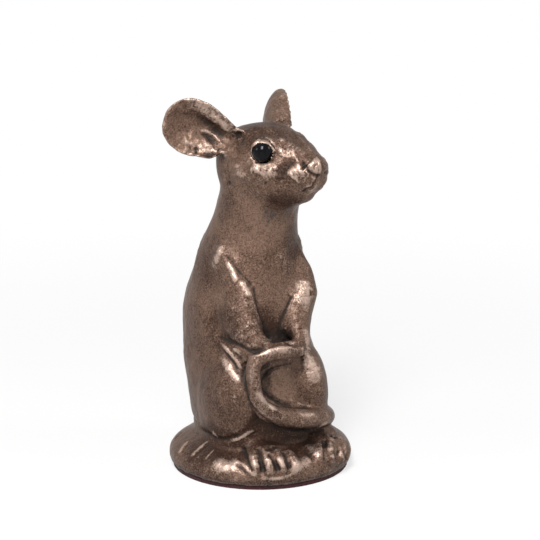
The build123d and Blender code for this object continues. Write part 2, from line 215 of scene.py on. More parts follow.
class Bench:
    """A material, or the room's own light, under work."""

    def __init__(self, holder: bpy.types.Material | bpy.types.World) -> None:
        """Clears the holder's nodes.

        Args:
            holder: What gets the finish.
        """
        self.holder = holder
        self.holder.use_nodes = True
        self.tree = self.holder.node_tree
        self.tree.nodes.clear()

    @classmethod
    def material(cls, name: str) -> Bench:
        """Starts an empty material of that name."""
        return cls(bpy.data.materials.new(name))

    def add(self, kind: str, settings: dict | None = None, sockets: dict | None = None) -> Outputs:
        """Adds a node.

        Args:
            kind: The node's type.
            settings: Its own settings.
            sockets: Values or links of its inputs, by name or place.

        Returns:
            The node's outputs.
        """
        node = self.tree.nodes.new(kind)
        for name, value in (settings or {}).items():
            setattr(node, name, value)
        for name, value in (sockets or {}).items():
            if isinstance(name, int):
                socket = node.inputs[name]
            else:
                socket = [s for s in node.inputs if s.name == name and s.enabled][0]
            if isinstance(value, Shade):
                self.tree.links.new(value.socket, socket)
            else:
                socket.default_value = value
        return Outputs(self, node)

    def maths(
        self, operation: str, a: Shade | float, b: Shade | float, use_clamp: bool = False
    ) -> Shade:
        """Adds a Math node.

        Args:
            operation: What it works out.
            a: The first value.
            b: The second value.
            use_clamp: Whether the result is held between nought and one.

        Returns:
            The result.
        """
        settings = {"operation": operation, "use_clamp": use_clamp}
        return self.add("ShaderNodeMath", settings, {0: a, 1: b})["Value"]

    def mix(self, share: Shade | float, first: Shade | Colour, second: Shade | Colour) -> Shade:
        """Mixes two colours.

        Args:
            share: How much of the second there is.
            first: The colour at nought.
            second: The colour at one.

        Returns:
            The mixed colour.
        """
        ends = [c if isinstance(c, Shade) else (*c, 1.0) for c in (first, second)]
        sockets = {"Factor": share, "A": ends[0], "B": ends[1]}
        return self.add("ShaderNodeMix", {"data_type": "RGBA"}, sockets)["Result"]

    def attribute(self, name: str) -> Shade:
        """A number kept on the mesh's points."""
        return self.add("ShaderNodeAttribute", {"attribute_name": name})["Fac"]

    def place(self) -> Shade:
        """The place on the object, in metres."""
        return self.add("ShaderNodeTexCoord")["Object"]

    def speckle(self, size: float, detail: float = 2.0, roughness: float = 0.5) -> Shade:
        """Soft random values over the surface.

        Args:
            size: The size of one blot in millimetres.
            detail: How many finer layers there are.
            roughness: How strong the finer layers are.

        Returns:
            Values around a half.
        """
        sockets = {
            "Vector": self.place(),
            "Scale": 1 / (size * MILLIMETRE),
            "Detail": detail,
            "Roughness": roughness,
        }
        return self.add("ShaderNodeTexNoise", {}, sockets)["Fac"]

    def bump(self, height: Shade, depth: float, normal: Shade | None = None) -> Shade:
        """Raises the surface's shading.

        Args:
            height: The relief, from nought to one.
            depth: How high one stands, in millimetres.
            normal: Another bump's normal, if this one goes on top of it.

        Returns:
            The bumped normal.
        """
        sockets = {"Height": height, "Distance": depth * MILLIMETRE, "Strength": 1.0}
        if normal is not None:
            sockets["Normal"] = normal
        return self.add("ShaderNodeBump", {}, sockets)["Normal"]

    def seen_directly(self) -> Shade:
        """One for what the camera sees, in mirrors and through glass too, and nought for plain light."""
        rays = self.add("ShaderNodeLightPath")
        return (rays["Is Camera Ray"] + rays["Is Glossy Ray"] + rays["Is Transmission Ray"]).clamped()

    def coat(self, sockets: dict) -> bpy.types.Material:
        """Ends the work with the usual surface shader and its inputs."""
        return self.close(self.add("ShaderNodeBsdfPrincipled", {}, sockets)["BSDF"])

    def close(self, shader: Shade) -> bpy.types.Material | bpy.types.World:
        """Ends the work.

        Args:
            shader: What the surface or the room shows.

        Returns:
            The finished holder.
        """
        kind = "World" if isinstance(self.holder, bpy.types.World) else "Material"
        self.add(f"ShaderNodeOutput{kind}", {}, {"Surface": shader})
        return self.holder


# Finishes


@dataclass(frozen=True)
class BronzePatina:
    """Bronze-filled resin: brown patina, dark wash in the folds, rubbed bright on what stands out, with
    painted shade and painted highlights laid over it.
    """

    name: str = "bronze_patina"
    deep: Colour = (0.013, 0.010, 0.009)
    brown: Colour = (0.036, 0.017, 0.011)
    bronze: Colour = (0.185, 0.114, 0.082)
    rubbed_and_highlight: Colour = (0.520, 0.385, 0.315)
    stain: Colour = (0.032, 0.031, 0.033)
    edge: Colour = (0.48, 0.43, 0.39)
    cloud_size: float = 14.0
    blot_size: float = 4.5
    fleck_size: float = 1.3
    grain_size: float = 0.42
    pit_size: float = 2.6
    pit_depth: float = 0.14
    fleck_depth: float = 0.14
    grain_depth: float = 0.11
    metal: float = 0.36
    gloss: float = 0.38

    def make(self) -> bpy.types.Material:
        """Mixes the finish.

        Returns:
            The material.
        """
        bench = Bench.material(self.name)
        hollow, crest, sky, tone = (bench.attribute(name) for name in ("hollow", "crest", "sky", "tone"))
        cloud = bench.speckle(self.cloud_size, 3.0)
        blot = bench.speckle(self.blot_size, 3.0, 0.6)
        fleck = bench.speckle(self.fleck_size, 3.0, 0.65)
        grain = bench.speckle(self.grain_size, 2.0, 0.7)

        tone = tone + (cloud - 0.5) * 0.9 + (blot - 0.5) * 0.7 + (fleck - 0.5) * 0.6 + (grain - 0.5) * 2.3
        # Painted shade: the tone is darker where little of the sky is open, under and between parts.
        tone = tone - (1 - sky).ramp(0.05, 0.70) * 0.45
        colour = bench.mix(tone.clamped(), self.brown, self.bronze)
        spots = (blot * 0.6 + fleck * 0.4).ramp(0.57, 0.68) * cloud.ramp(0.46, 0.60)
        colour = bench.mix(spots * 0.85, colour, self.stain)
        # Rubbed bright on ridges, and painted highlights where raising strokes left shine.
        rub_and_highlight = (crest + (fleck - 0.5) * 0.9 + (grain - 0.5)).ramp(0.20, 1.10) * sky.ramp(0.25, 0.6)
        colour = bench.mix(rub_and_highlight * 0.80, colour, self.rubbed_and_highlight)
        # Dark patina wash in hollows and creases, mixed with painted shade from lowering strokes and from
        # closed-in sky.
        wash_and_shade = (hollow + (blot - 0.5) * 0.4 + (fleck - 0.5) * 0.6 + (grain - 0.5) * 0.8).ramp(0.42, 1.05)
        wash_and_shade = (wash_and_shade + (1 - sky).ramp(0.22, 0.72) * 0.92).clamped()
        colour = bench.mix(wash_and_shade * 0.92, colour, self.deep)

        roughness = (self.gloss + (grain - 0.5) * 0.5 + (blot - 0.5) * 0.2 + wash_and_shade * 0.20).clamped()
        metallic = (self.metal + rub_and_highlight * 0.45 - wash_and_shade * 0.30 - spots * 0.3).clamped()
        normal = bench.bump(bench.speckle(self.pit_size, 2.0), self.pit_depth)
        normal = bench.bump(fleck, self.fleck_depth, normal)
        normal = bench.bump(grain, self.grain_depth, normal)
        sockets = {
            "Base Color": colour,
            "Metallic": metallic,
            "Roughness": roughness,
            "Normal": normal,
            "Specular Tint": (*self.edge, 1.0),
            "IOR": 1.4,
            "Coat Weight": 0.05,
            "Coat Roughness": 0.25,
            "Coat IOR": 1.45,
        }
        return bench.coat(sockets)


@dataclass(frozen=True)
class BlackGlass:
    """Polished black glass with the faintest haze of handling."""

    name: str = "black_glass"
    black: Colour = (0.002, 0.002, 0.003)
    smear: Colour = (0.006, 0.006, 0.007)
    haze_size: float = 0.9

    def make(self) -> bpy.types.Material:
        """Mixes the finish.

        Returns:
            The material.
        """
        bench = Bench.material(self.name)
        haze = bench.speckle(self.haze_size, 3.0)
        sockets = {
            "Base Color": bench.mix(haze.ramp(0.45, 0.75), self.black, self.smear),
            "Roughness": 0.03 + haze.ramp(0.5, 0.9) * 0.05,
            "Specular IOR Level": 0.15,
            "IOR": 1.45,
        }
        return bench.coat(sockets)


@dataclass(frozen=True)
class Felt:
    """Dyed craft felt: short matted fibres with lighter ends."""

    name: str = "burgundy_felt"
    shadow: Colour = (0.018, 0.003, 0.004)
    dye: Colour = (0.055, 0.006, 0.008)
    fibre: Colour = (0.105, 0.022, 0.020)
    mat_size: float = 0.9
    mat_depth: float = 0.12
    fuzz_size: float = 0.16
    fuzz_depth: float = 0.06

    def make(self) -> bpy.types.Material:
        """Mixes the finish.

        Returns:
            The material.
        """
        bench = Bench.material(self.name)
        mat = bench.speckle(self.mat_size, 4.0, 0.7)
        fuzz = bench.speckle(self.fuzz_size, 3.0, 0.7)
        colour = bench.mix(mat.ramp(0.35, 0.65), self.shadow, self.dye)
        colour = bench.mix(fuzz.ramp(0.55, 0.75) * 0.6, colour, self.fibre)
        normal = bench.bump(mat, self.mat_depth)
        normal = bench.bump(fuzz, self.fuzz_depth, normal)
        sockets = {
            "Base Color": colour,
            "Roughness": 0.9 + (fuzz - 0.5) * 0.15,
            "Normal": normal,
            "Sheen Weight": 0.05,
            "Sheen Roughness": 0.5,
        }
        return bench.coat(sockets)


@dataclass(frozen=True)
class DullFill:
    """A matt, grainy filling or paste."""

    name: str
    dark: Colour
    light: Colour
    grain: float = 0.8
    roughness: float = 0.8
    depth: float = 0.08

    def make(self) -> bpy.types.Material:
        """Mixes the finish.

        Returns:
            The material.
        """
        bench = Bench.material(self.name)
        grit = bench.speckle(self.grain, 4.0, 0.65)
        sockets = {
            "Base Color": bench.mix(grit.ramp(0.35, 0.65), self.dark, self.light),
            "Roughness": self.roughness + (grit - 0.5) * 0.2,
            "Normal": bench.bump(grit, self.depth),
        }
        return bench.coat(sockets)


@dataclass(frozen=True)
class PaleFloor:
    """A white floor that keeps the shadow and fades into the white behind it."""

    name: str = "pale_floor"
    white: Colour = (0.86, 0.86, 0.86)
    fade_start: float = 0.05
    fade_end: float = 0.30
    glow: float = 0.70

    def make(self) -> bpy.types.Material:
        """Mixes the finish.

        Returns:
            The material.
        """
        bench = Bench.material(self.name)
        away = bench.add("ShaderNodeVectorMath", {"operation": "LENGTH"}, {0: bench.place()})["Value"]
        fade = away.ramp(self.fade_start, self.fade_end)
        matt = bench.add("ShaderNodeBsdfDiffuse", {}, {"Color": (*self.white, 1.0)})["BSDF"]
        lit = bench.add("ShaderNodeEmission", {}, {"Color": (1, 1, 1, 1), "Strength": 1.0})["Emission"]
        share = bench.seen_directly() * (self.glow + fade * (1 - self.glow))
        return bench.close(bench.add("ShaderNodeMixShader", {}, {0: share, 1: matt, 2: lit})["Shader"])


# Modelling

ROUTE_STEPS = 6  # steps between two places of a path
MARK_REACH = 1.15  # how far a stroke's wash and painted shade, or rubbing and painted highlight, goes, in its half widths
CREASE_REACH = 0.70  # the same for a crease
DENT_WASH_AND_SHADE = 0.25  # how much of its wash and painted shade a rounded dent keeps
FACING_GAIN = 2.0  # how quickly a stroke takes on points that face its own way
HAND_WAVES = 1.3  # the swing of a hand's pressure between two places
HAND_UNEVEN = 2.3  # a second swing over the first one
HAND_START = 7.0  # how much a tool's width moves the swing's start
HAND_SHARE = 0.16  # how much of the pressure swings
SKY_START = 0.08  # how far over the skin a look at the sky starts
SKY_DIP = 0.05  # how steeply a look goes down before it meets the floor
FLOOR_SKY = 0.5  # how much light the pale floor stands in for


def smooth(share: np.ndarray) -> np.ndarray:
    """A soft step of shares, which are first held between nought and one."""
    held = np.clip(share, 0, 1)
    return held * held * (3 - 2 * held)


def place_on_curve(nodes: np.ndarray, travel: float) -> np.ndarray:
    """Follows a smooth curve through nodes.

    Args:
        nodes: The places that it goes through.
        travel: How many of them are passed.

    Returns:
        The place on the curve.
    """
    first = min(int(travel), len(nodes) - 2)
    t = travel - first
    a, b, c, d = (nodes[min(max(first + k, 0), len(nodes) - 1)] for k in (-1, 0, 1, 2))
    return b + t / 2 * (c - a + t * (2 * a - 5 * b + 4 * c - d + t * (3 * b - a - 3 * c + d)))


def hand_pressure(travel: np.ndarray, start: float) -> np.ndarray:
    """The pressure of an unsteady hand along a path, with a start that picks its swing."""
    swing = travel * HAND_WAVES + start
    return 1 - HAND_SHARE + HAND_SHARE * np.sin(swing) * np.cos(swing * HAND_UNEVEN + 1)


class Cut(Enum):
    """The edge of a modelling tool."""

    ROUND = "round"
    SHARP = "sharp"


class Twin(Enum):
    """Whether a stroke is repeated on the mouse's other side, and across what."""

    NONE = "none"
    HEAD = "head"
    BODY = "body"


@dataclass(frozen=True)
class Stroke:
    """One stroke of a modelling tool, with its half width and depth in millimetres.

    Its path is in the photograph's pixels where its places have two numbers, and otherwise in
    millimetres. A positive depth raises the clay. The stroke sets in and ends over its fade, a share
    of the path, and its mark is wash and painted shade for a lowering stroke, rubbing and painted highlight
    for a raising one.
    """

    path: Path
    width: float
    depth: float
    cut: Cut = Cut.ROUND
    twin: Twin = Twin.NONE
    fade: float = 0.3
    mark: float = 1.0

    def depth_share(self, gaps: np.ndarray) -> np.ndarray:
        """How much of its depth the clay takes, at such distances from its line."""
        reach = np.clip(1 - gaps / self.width, 0, 1)
        return smooth(reach) if self.cut is Cut.ROUND else reach

    def marking(self, gaps: np.ndarray) -> np.ndarray:
        """How much wash and painted shade, or rubbing and painted highlight, a stroke leaves.

        Args:
            gaps: How far points are from its line.

        Returns:
            A share for each point.
        """
        reach = CREASE_REACH if self.cut is Cut.SHARP else MARK_REACH
        kept = self.mark * (DENT_WASH_AND_SHADE if self.cut is Cut.ROUND and self.depth < 0 else 1)
        return smooth(1 - gaps / (self.width * reach)) * kept


def crease(
    path: Path, width: float, depth: float, twin: Twin = Twin.NONE, fade: float = 0.3, mark: float = 1.0
) -> Stroke:
    """A cut into the clay with a pointed tool."""
    return Stroke(path, width, -depth, Cut.SHARP, twin, fade, mark)


def paired(twin: Twin, *strokes: Stroke) -> tuple[Stroke, ...]:
    """The strokes, each to be repeated on the mouse's other side."""
    return tuple(replace(stroke, twin=twin) for stroke in strokes)


@dataclass(frozen=True)
class Zone:
    """A ball of clay in which the work has its own strength.

    Its centre is a pixel of the photograph where it has two numbers.
    """

    centre: tuple[float, ...]
    radius: float
    strength: float


@dataclass(frozen=True)
class Push:
    """A shove across the view, from a pixel and by as many pixels, within a ball in millimetres."""

    pixel: tuple[float, float]
    radius: float
    shift: tuple[float, float]


@dataclass(frozen=True)
class Ripple:
    """The unevenness of hand work: a swell's size and height in millimetres, and its pattern."""

    size: float
    height: float
    seed: float


@dataclass(frozen=True)
class Socket:
    """How the clay lies round a ball of glass, in millimetres.

    The clay in a band beside the ball is pulled towards it, as far back as a depth behind its centre,
    and laid over it with an overlap. Which way it faces is read within so many of the ball's radii.
    """

    centre: tuple[float, float, float]
    radius: float = 2.9
    pull: float = 0.07
    band: float = 1.8
    behind: float = 0.7
    overlap: float = 0.10
    facing_radii: float = 1.35


@dataclass(frozen=True)
class Fold:
    """A plane across which strokes are repeated, upright, through a place and square to a turn."""

    x: float
    y: float
    turn: float

    def twin_of(self, points: np.ndarray) -> np.ndarray:
        """Reflects points.

        Args:
            points: Their places.

        Returns:
            The places of their twins.
        """
        a = math.radians(self.turn)
        side = np.array([math.cos(a), math.sin(a), 0.0])
        away = (points - np.array([self.x, self.y, 0.0])) @ side
        return points - 2 * away[:, None] * side


FOLDS = {Twin.HEAD: Fold(0.0, -1.05, 25.0), Twin.BODY: Fold(-0.4, 0.0, 0.0)}


class Clay:
    """A closed skin of points that is softened and pressed, in millimetres.

    It keeps how much wash and painted shade, and how much shine (rubbing and painted highlight), the
    strokes leave at each point.
    """

    def __init__(self, mesh: bpy.types.Mesh) -> None:
        """Reads the points, edges and faces of a mesh.

        Args:
            mesh: The skin.
        """
        self.mesh = mesh
        count = len(mesh.vertices)
        self.places = np.empty(count * 3, np.float32)
        mesh.vertices.foreach_get("co", self.places)
        self.places = self.places.reshape(-1, 3).astype(float)
        edges = np.empty(len(mesh.edges) * 2, np.int32)
        mesh.edges.foreach_get("vertices", edges)
        edges = edges.reshape(-1, 2)
        self.near = np.concatenate([edges[:, 0], edges[:, 1]])
        self.far = np.concatenate([edges[:, 1], edges[:, 0]])
        self.degree = np.maximum(np.bincount(self.near, minlength=count), 1)
        self.faces = [tuple(polygon.vertices) for polygon in mesh.polygons]
        corners = [face if len(face) == 4 else (*face, face[-1]) for face in self.faces]
        self.quads = np.array(corners, np.int64)
        self.wash_and_shade = np.zeros(count)
        self.shine = np.zeros(count)
        self.normals = self.find_normals()

    def find_normals(self) -> np.ndarray:
        """Works out the outward direction at each point.

        Returns:
            The directions, of length one.
        """
        a, b, c, d = (self.places[self.quads[:, k]] for k in range(4))
        flat = np.cross(c - a, d - b)
        total = np.zeros_like(self.places)
        for axis in range(3):
            for corner in range(4):
                total[:, axis] += np.bincount(self.quads[:, corner], flat[:, axis], len(self.places))
        return total / np.maximum(np.linalg.norm(total, axis=1), 1e-12)[:, None]

    def tree(self) -> BVHTree:
        """The skin as it is now, for lines of sight."""
        return BVHTree.FromPolygons(self.places.tolist(), self.faces)

    def softened(self, places: np.ndarray, share: np.ndarray | float) -> np.ndarray:
        """Moves each point part of the way to the mean of its neighbours.

        Args:
            places: The points' places.
            share: How far each goes, from nought to one.

        Returns:
            The new places.
        """
        mean = np.empty_like(places)
        for k in range(3):
            mean[:, k] = np.bincount(self.near, places[self.far, k], len(places)) / self.degree
        return places + (mean - places) * share

    def soften(self, softness: np.ndarray, rounds: int) -> None:
        """Rubs the clay smooth.

        Args:
            softness: How soft each point is, from nought to one.
            rounds: How often it is rubbed.
        """
        for _ in range(rounds):
            self.places = self.softened(self.places, softness[:, None] * 0.5)
        self.normals = self.find_normals()

    def hollows(self, rounds: int) -> np.ndarray:
        """How far the skin lies under its softened self.

        Args:
            rounds: How often that one is rubbed.

        Returns:
            Millimetres, positive in hollows and negative on ridges.
        """
        soft = self.places
        for _ in range(rounds):
            soft = self.softened(soft, 0.5)
        return ((soft - self.places) * self.normals).sum(1)

    def push(self, pushes: tuple[Push, ...]) -> None:
        """Shoves clay across the view.

        Args:
            pushes: The shoves, in order.
        """
        right, up, _ = VIEW.axes()
        tree = self.tree()
        for push in pushes:
            place = tree.ray_cast(*VIEW.ray(push.pixel))[0]
            if place is None:
                log.warning("a shove misses the clay: %s", push.pixel)
                continue
            gap = np.linalg.norm(self.places - np.array(place), axis=1) / push.radius
            across, down = push.shift
            shift = (right * across - up * down) * VIEW.pixel_size
            self.places += np.array(shift) * smooth(1 - gap)[:, None]
        self.normals = self.find_normals()

    def draw_in(self, socket: Socket) -> None:
        """Draws the clay round an eye inwards, over the ball.

        Args:
            socket: The ball and how the clay lies round it.
        """
        offset = self.places - np.array(socket.centre)
        rim = np.linalg.norm(offset, axis=1) < socket.radius * socket.facing_radii
        axis = self.normals[rim].sum(0)
        axis /= np.linalg.norm(axis)
        height = offset @ axis
        flat = offset - height[:, None] * axis
        spread = np.maximum(np.linalg.norm(flat, axis=1), 1e-6)
        beside = (height > -socket.behind) & (height < socket.radius)
        share = smooth(1 - (spread - socket.radius) / socket.band) * beside
        drawn = spread - socket.pull * share
        ball = socket.radius + socket.overlap
        over = np.sqrt(np.maximum(ball**2 - drawn**2, 0))
        lift = np.where((share > 0) & (drawn < ball), np.maximum(over - height, 0), 0)
        self.places += flat * ((drawn - spread) / spread)[:, None] + axis * lift[:, None]
        self.normals = self.find_normals()

    def press(self, strokes: tuple[Stroke, ...]) -> None:
        """Makes strokes on the skin, all of them on the skin as it is now.

        Args:
            strokes: The strokes.
        """
        tree = self.tree()
        shifts = np.zeros_like(self.places)
        for stroke in strokes:
            laid = self._route(stroke, tree)
            if laid is None:
                log.warning("a stroke misses the clay: %s", stroke.path[:2])
                continue
            self._press_one(shifts, *laid, stroke)
            if stroke.twin is not Twin.NONE:
                twins = FOLDS[stroke.twin].twin_of(laid[0])
                found = [tree.find_nearest(Vector(point)) for point in twins]
                points, facing = (np.array([hit[k] for hit in found]) for k in (0, 1))
                self._press_one(shifts, points, facing, stroke)
        self.places += shifts
        self.normals = self.find_normals()

    @staticmethod
    def _route(stroke: Stroke, tree: BVHTree) -> tuple[np.ndarray, np.ndarray] | None:
        """Lays a stroke's path on the skin.

        Args:
            stroke: The stroke.
            tree: The skin.

        Returns:
            Places along the path and the skin's directions there, or None if it misses.
        """
        nodes = np.array(stroke.path, float)
        hits = []
        for travel in np.linspace(0, len(nodes) - 1, ROUTE_STEPS * (len(nodes) - 1) + 1):
            point = place_on_curve(nodes, travel)
            if len(point) == 2:
                place, normal, *_ = tree.ray_cast(*VIEW.ray(tuple(point)))
            else:
                place, normal, *_ = tree.find_nearest(Vector(point))
            if place is not None:
                hits.append((*place, *normal))
        if len(hits) < 2:
            return None
        found = np.array(hits)
        return found[:, :3], found[:, 3:]

    def _press_one(
        self, shifts: np.ndarray, points: np.ndarray, facing: np.ndarray, stroke: Stroke
    ) -> None:
        """Adds the shifts that one stroke gives, and notes its wash and painted shade, or its shine and
        painted highlight.

        Args:
            shifts: The shifts of all points so far, which are added to.
            points: Places along the stroke.
            facing: The skin's directions there.
            stroke: The stroke.
        """
        low, high = points.min(0) - stroke.width, points.max(0) + stroke.width
        close = np.nonzero(((self.places > low) & (self.places < high)).all(1))[0]
        if len(close) == 0:
            return
        starts, spans = points[:-1], np.diff(points, axis=0)
        lengths = np.maximum((spans**2).sum(1), 1e-9)
        offsets = self.places[close][:, None, :] - starts[None]
        along = np.clip((offsets * spans).sum(2) / lengths, 0, 1)
        gaps = np.linalg.norm(offsets - along[..., None] * spans, axis=2)
        best = gaps.argmin(1)
        rows = np.arange(len(close))
        gap, travel = gaps[rows, best], best + along[rows, best]
        reach = stroke.depth_share(gap) * hand_pressure(travel, HAND_START * stroke.width + points[0, 0])
        travel = travel / len(starts)
        ends = np.minimum(travel, 1 - travel) / stroke.fade
        fade = np.sin(np.clip(ends, 0, 1) * math.pi / 2)
        side = np.clip((self.normals[close] * facing[best]).sum(1) * FACING_GAIN, 0, 1)
        shifts[close] += self.normals[close] * (stroke.depth * reach * fade * side)[:, None]
        kept = self.wash_and_shade if stroke.depth < 0 else self.shine
        kept[close] = np.maximum(kept[close], stroke.marking(gap) * fade * side)

    def shares(self, zones: tuple[Zone, ...]) -> Iterator[tuple[float, np.ndarray]]:
        """How far the points are inside each zone.

        Args:
            zones: The zones, which all have their places on the skin as it is now.

        Yields:
            A zone's strength, and a share for each point: nought at the zone's edge and one within
            its inner half.
        """
        tree = self.tree()
        for zone in zones:
            centre = zone.centre if len(zone.centre) == 3 else tree.ray_cast(*VIEW.ray(zone.centre))[0]
            gap = np.linalg.norm(self.places - np.array(centre), axis=1) / zone.radius
            yield zone.strength, smooth((1 - gap) * 2)

    def ripple(self, ripple: Ripple, where: np.ndarray | float = 1.0) -> None:
        """Gives the skin the unevenness of hand work.

        Args:
            ripple: The pattern.
            where: How much of it each point gets.
        """
        start = Vector((ripple.seed, -ripple.seed, ripple.seed))
        swell = np.array([noise.noise(Vector(place) / ripple.size + start) for place in self.places])
        self.places += self.normals * (swell * ripple.height * where)[:, None]
        self.normals = self.find_normals()

    def openness(self, rays: int, reach: float) -> np.ndarray:
        """How much of the sky over each point is clear.

        Args:
            rays: How many lines are tried from a point.
            reach: How far they look.

        Returns:
            Shares from nought to one.
        """
        tree = self.tree()
        chance = np.random.default_rng(7)
        tilt = np.sqrt(chance.random(rays))
        turn = chance.random(rays) * 2 * math.pi
        local = np.stack([tilt * np.cos(turn), tilt * np.sin(turn), np.sqrt(1 - tilt**2)], 1)
        lines = [Vector(line) for line in local]
        clear = np.empty(len(self.places))
        floor = float(self.places[:, 2].min())
        for index, (place, normal) in enumerate(zip(self.places, self.normals)):
            aim = Vector(normal)
            spin = aim.to_track_quat("Z", "Y").to_matrix()
            start = Vector(place) + aim * SKY_START
            free = 0.0
            for local_line in lines:
                line = spin @ local_line
                if line.z < -SKY_DIP and (start.z - floor) / -line.z < reach:
                    free += FLOOR_SKY
                elif tree.ray_cast(start, line, reach)[0] is None:
                    free += 1
            clear[index] = free / rays
        return clear

    def keep(self, name: str, values: np.ndarray) -> None:
        """Writes a number for each point, for the finish to read by its name."""
        attribute = self.mesh.attributes.new(name, "FLOAT", "POINT")
        attribute.data.foreach_set("value", np.clip(values, 0, 1).astype(np.float32))

    def settle(self) -> bpy.types.Mesh:
        """Gives the mesh its worked places.

        Returns:
            The mesh, still in millimetres.
        """
        self.mesh.vertices.foreach_set("co", self.places.astype(np.float32).ravel())
        self.mesh.update()
        return self.mesh


# Strokes

# The left of the tail's loop, its lower bend, and the lobe of the near ear
PUSHES = (
    Push((245, 371), 7.5, (6.5, 0.0)),
    Push((247, 393), 7.5, (6.5, 1.0)),
    Push((262, 416), 5.5, (1.5, 2.0)),
    Push((208, 149), 4.0, (2.0, 6.0)),
)

EYELIDS = paired(
    Twin.HEAD,
    # rims of the lids, with faint painted highlights
    Stroke(((251, 150), (253.5, 144.5), (258.5, 140.2), (264, 137.8)), 1.0, 0.40, fade=0.15, mark=0.3),
    Stroke(((264, 137.8), (269.5, 140.5), (273.5, 145.5), (275.3, 152)), 1.0, 0.40, fade=0.15, mark=0.4),
    Stroke(((251, 152), (253, 158.5), (258.5, 163.5), (266, 164.5), (273, 160.5)), 1.1, 0.30, mark=0.3),
    # the fold over the eye and the one at its corner
    Stroke(((247, 146), (252, 137.5), (264, 132.5), (275, 137), (281, 145)), 1.4, -0.20),
    crease(((276, 153), (281, 157), (287, 160)), 1.0, 0.31),
)

FACE = (
    *paired(
        Twin.HEAD,
        # brow and bridge of the nose
        Stroke(((240, 135), (252, 129), (266, 128), (280, 132), (291, 140)), 3.0, 0.20, mark=0.0),
        Stroke(((270, 136), (283, 141), (295, 148), (307, 156)), 1.7, 0.35, mark=0.3),
        # the fold between cheek and muzzle
        Stroke(((296, 159), (289, 164), (284, 170), (281, 178), (280, 187)), 2.1, -0.95, mark=1.6),
        crease(((297, 160), (290, 165), (284.5, 171), (281.5, 179)), 1.0, 0.15, mark=0.8),
        # under the eye and beside it, with painted highlights
        Stroke(((250, 165), (259, 170), (269, 171.5), (279, 168)), 2.6, 0.45, mark=0.8),
        Stroke(((277, 150), (287, 152), (297, 152)), 2.9, 0.35, mark=0.6),
        # jaw and ear root
        Stroke(((236, 178), (248, 184), (260, 185), (272, 186)), 2.2, -0.20),
        crease(((227.5, 160), (227, 170), (229, 180), (232, 188)), 1.3, 0.42),
        Stroke(((237, 162), (239, 171), (244, 179)), 2.6, 0.30, mark=0.6),
        # muzzle with a painted highlight, and throat with painted shade
        Stroke(((291, 177), (296, 172), (302, 169)), 3.4, 0.60, fade=0.01, mark=0.4),
        Stroke(((287, 177), (294, 170.5), (302, 165.5)), 3.4, 0.08, mark=0.62),
        Stroke(((296, 180), (302, 178), (306, 180)), 2.6, 0.35, fade=0.01, mark=0.2),
        Stroke(((272, 203), (283, 211), (291, 216)), 4.0, -0.30),
    ),
    Stroke(((292, 130), (301, 139), (309, 148.5), (315, 156)), 1.8, 0.20, mark=0.3),
)

MUZZLE = (
    # ball of the nose with a painted highlight, the crease round it and the nostril
    Stroke(((310, 163.5), (314.5, 166.5), (320, 166)), 3.9, 1.30, fade=0.01, mark=0.30),
    Stroke(((308, 161), (314, 159.5), (320, 160)), 1.0, 0.10, mark=0.9),
    crease(
        ((303, 160), (305, 166), (309.5, 171.5), (315, 175), (320.5, 174)),
        0.68, 0.90, twin=Twin.HEAD, fade=0.12, mark=1.2,
    ),
    crease(((314.3, 165), (315.5, 165.6)), 0.85, 0.45, twin=Twin.HEAD, fade=0.01, mark=1.5),
    # the cleft over the lip, the mouth and the lip
    crease(((318, 175), (316.5, 181), (313, 187)), 0.90, 0.60),
    crease(((302.5, 193), (306.5, 190), (311, 188.6), (315, 186.3)), 0.90, 0.80, twin=Twin.HEAD, fade=0.15),
    Stroke(((304, 196), (310, 192.5), (316, 189.5)), 1.2, 0.25, twin=Twin.HEAD, mark=0.5),
    crease(((310, 175), (311.5, 181), (309, 186)), 0.9, 0.20, twin=Twin.HEAD),
)

NEAR_EAR = (
    # the folded rim, with a painted highlight along it
    Stroke(
        ((182, 101.5), (198, 104.5), (211, 111), (220, 119), (228, 128), (233, 137)),
        2.2, 0.50, mark=1.6,
    ),
    # nicks in the rim, the bowl of the ear, and a painted highlight on its lower lobe
    Stroke(((213, 114), (215.5, 119)), 0.9, 0.25, fade=0.1),
    Stroke(((217, 121), (220, 127)), 0.9, -0.25, fade=0.1),
    Stroke(((190, 109), (202, 119), (213, 129), (224, 138)), 2.0, -0.40),
    Stroke(((180, 140), (189, 147), (200, 149.5), (212, 147)), 2.4, 0.25),
    # folds at the ear's root
    crease(((199, 133), (207, 135.5), (213.5, 139.5), (219, 145)), 0.95, 0.56),
    Stroke(((197, 130.5), (206, 131.5), (214, 135.5), (220, 140.5)), 0.9, 0.22),
    crease(((205, 138), (212, 142.5), (217, 148)), 0.85, 0.35),
    Stroke(((186, 134), (190, 139), (191, 145)), 0.9, -0.14),
    crease(((194, 147), (196, 151), (195, 155)), 0.9, 0.35),
    Stroke(((198, 153.5), (210, 151), (221, 152), (228.5, 157)), 1.0, 0.28),
    crease(((214, 148.5), (221, 154), (225, 161)), 0.95, 0.35),
)

HEAD_MARKS = (
    # between ear and eye
    crease(((235, 137), (239, 135), (243, 137.5)), 0.9, 0.45),
    Stroke(((231, 131), (238, 129.5), (245, 131)), 0.9, 0.16),
    crease(((241, 144), (243.5, 139), (247, 135.5)), 0.9, 0.22),
    crease(((235, 145), (237, 151), (236, 157)), 0.9, 0.25),
    # far ear
    crease(((277, 119), (281, 121), (285, 119)), 0.9, 0.49),
    Stroke(((272, 98), (275, 104), (273, 111)), 1.1, -0.16),
    Stroke(((282, 96), (285, 103), (284, 111)), 1.1, -0.16),
    # creases in the cheek, and pits
    crease(((257, 168), (262, 171.5), (268, 170)), 0.85, 0.28),
    crease(((252, 172), (258, 176), (263, 175)), 0.85, 0.22),
    crease(((271, 173), (276, 171), (281, 172.5)), 0.85, 0.25),
    crease(((264, 184), (266.5, 182)), 0.9, 0.35, fade=0.1),
    crease(((228, 181), (229.5, 185)), 1.0, 0.42, fade=0.1),
)

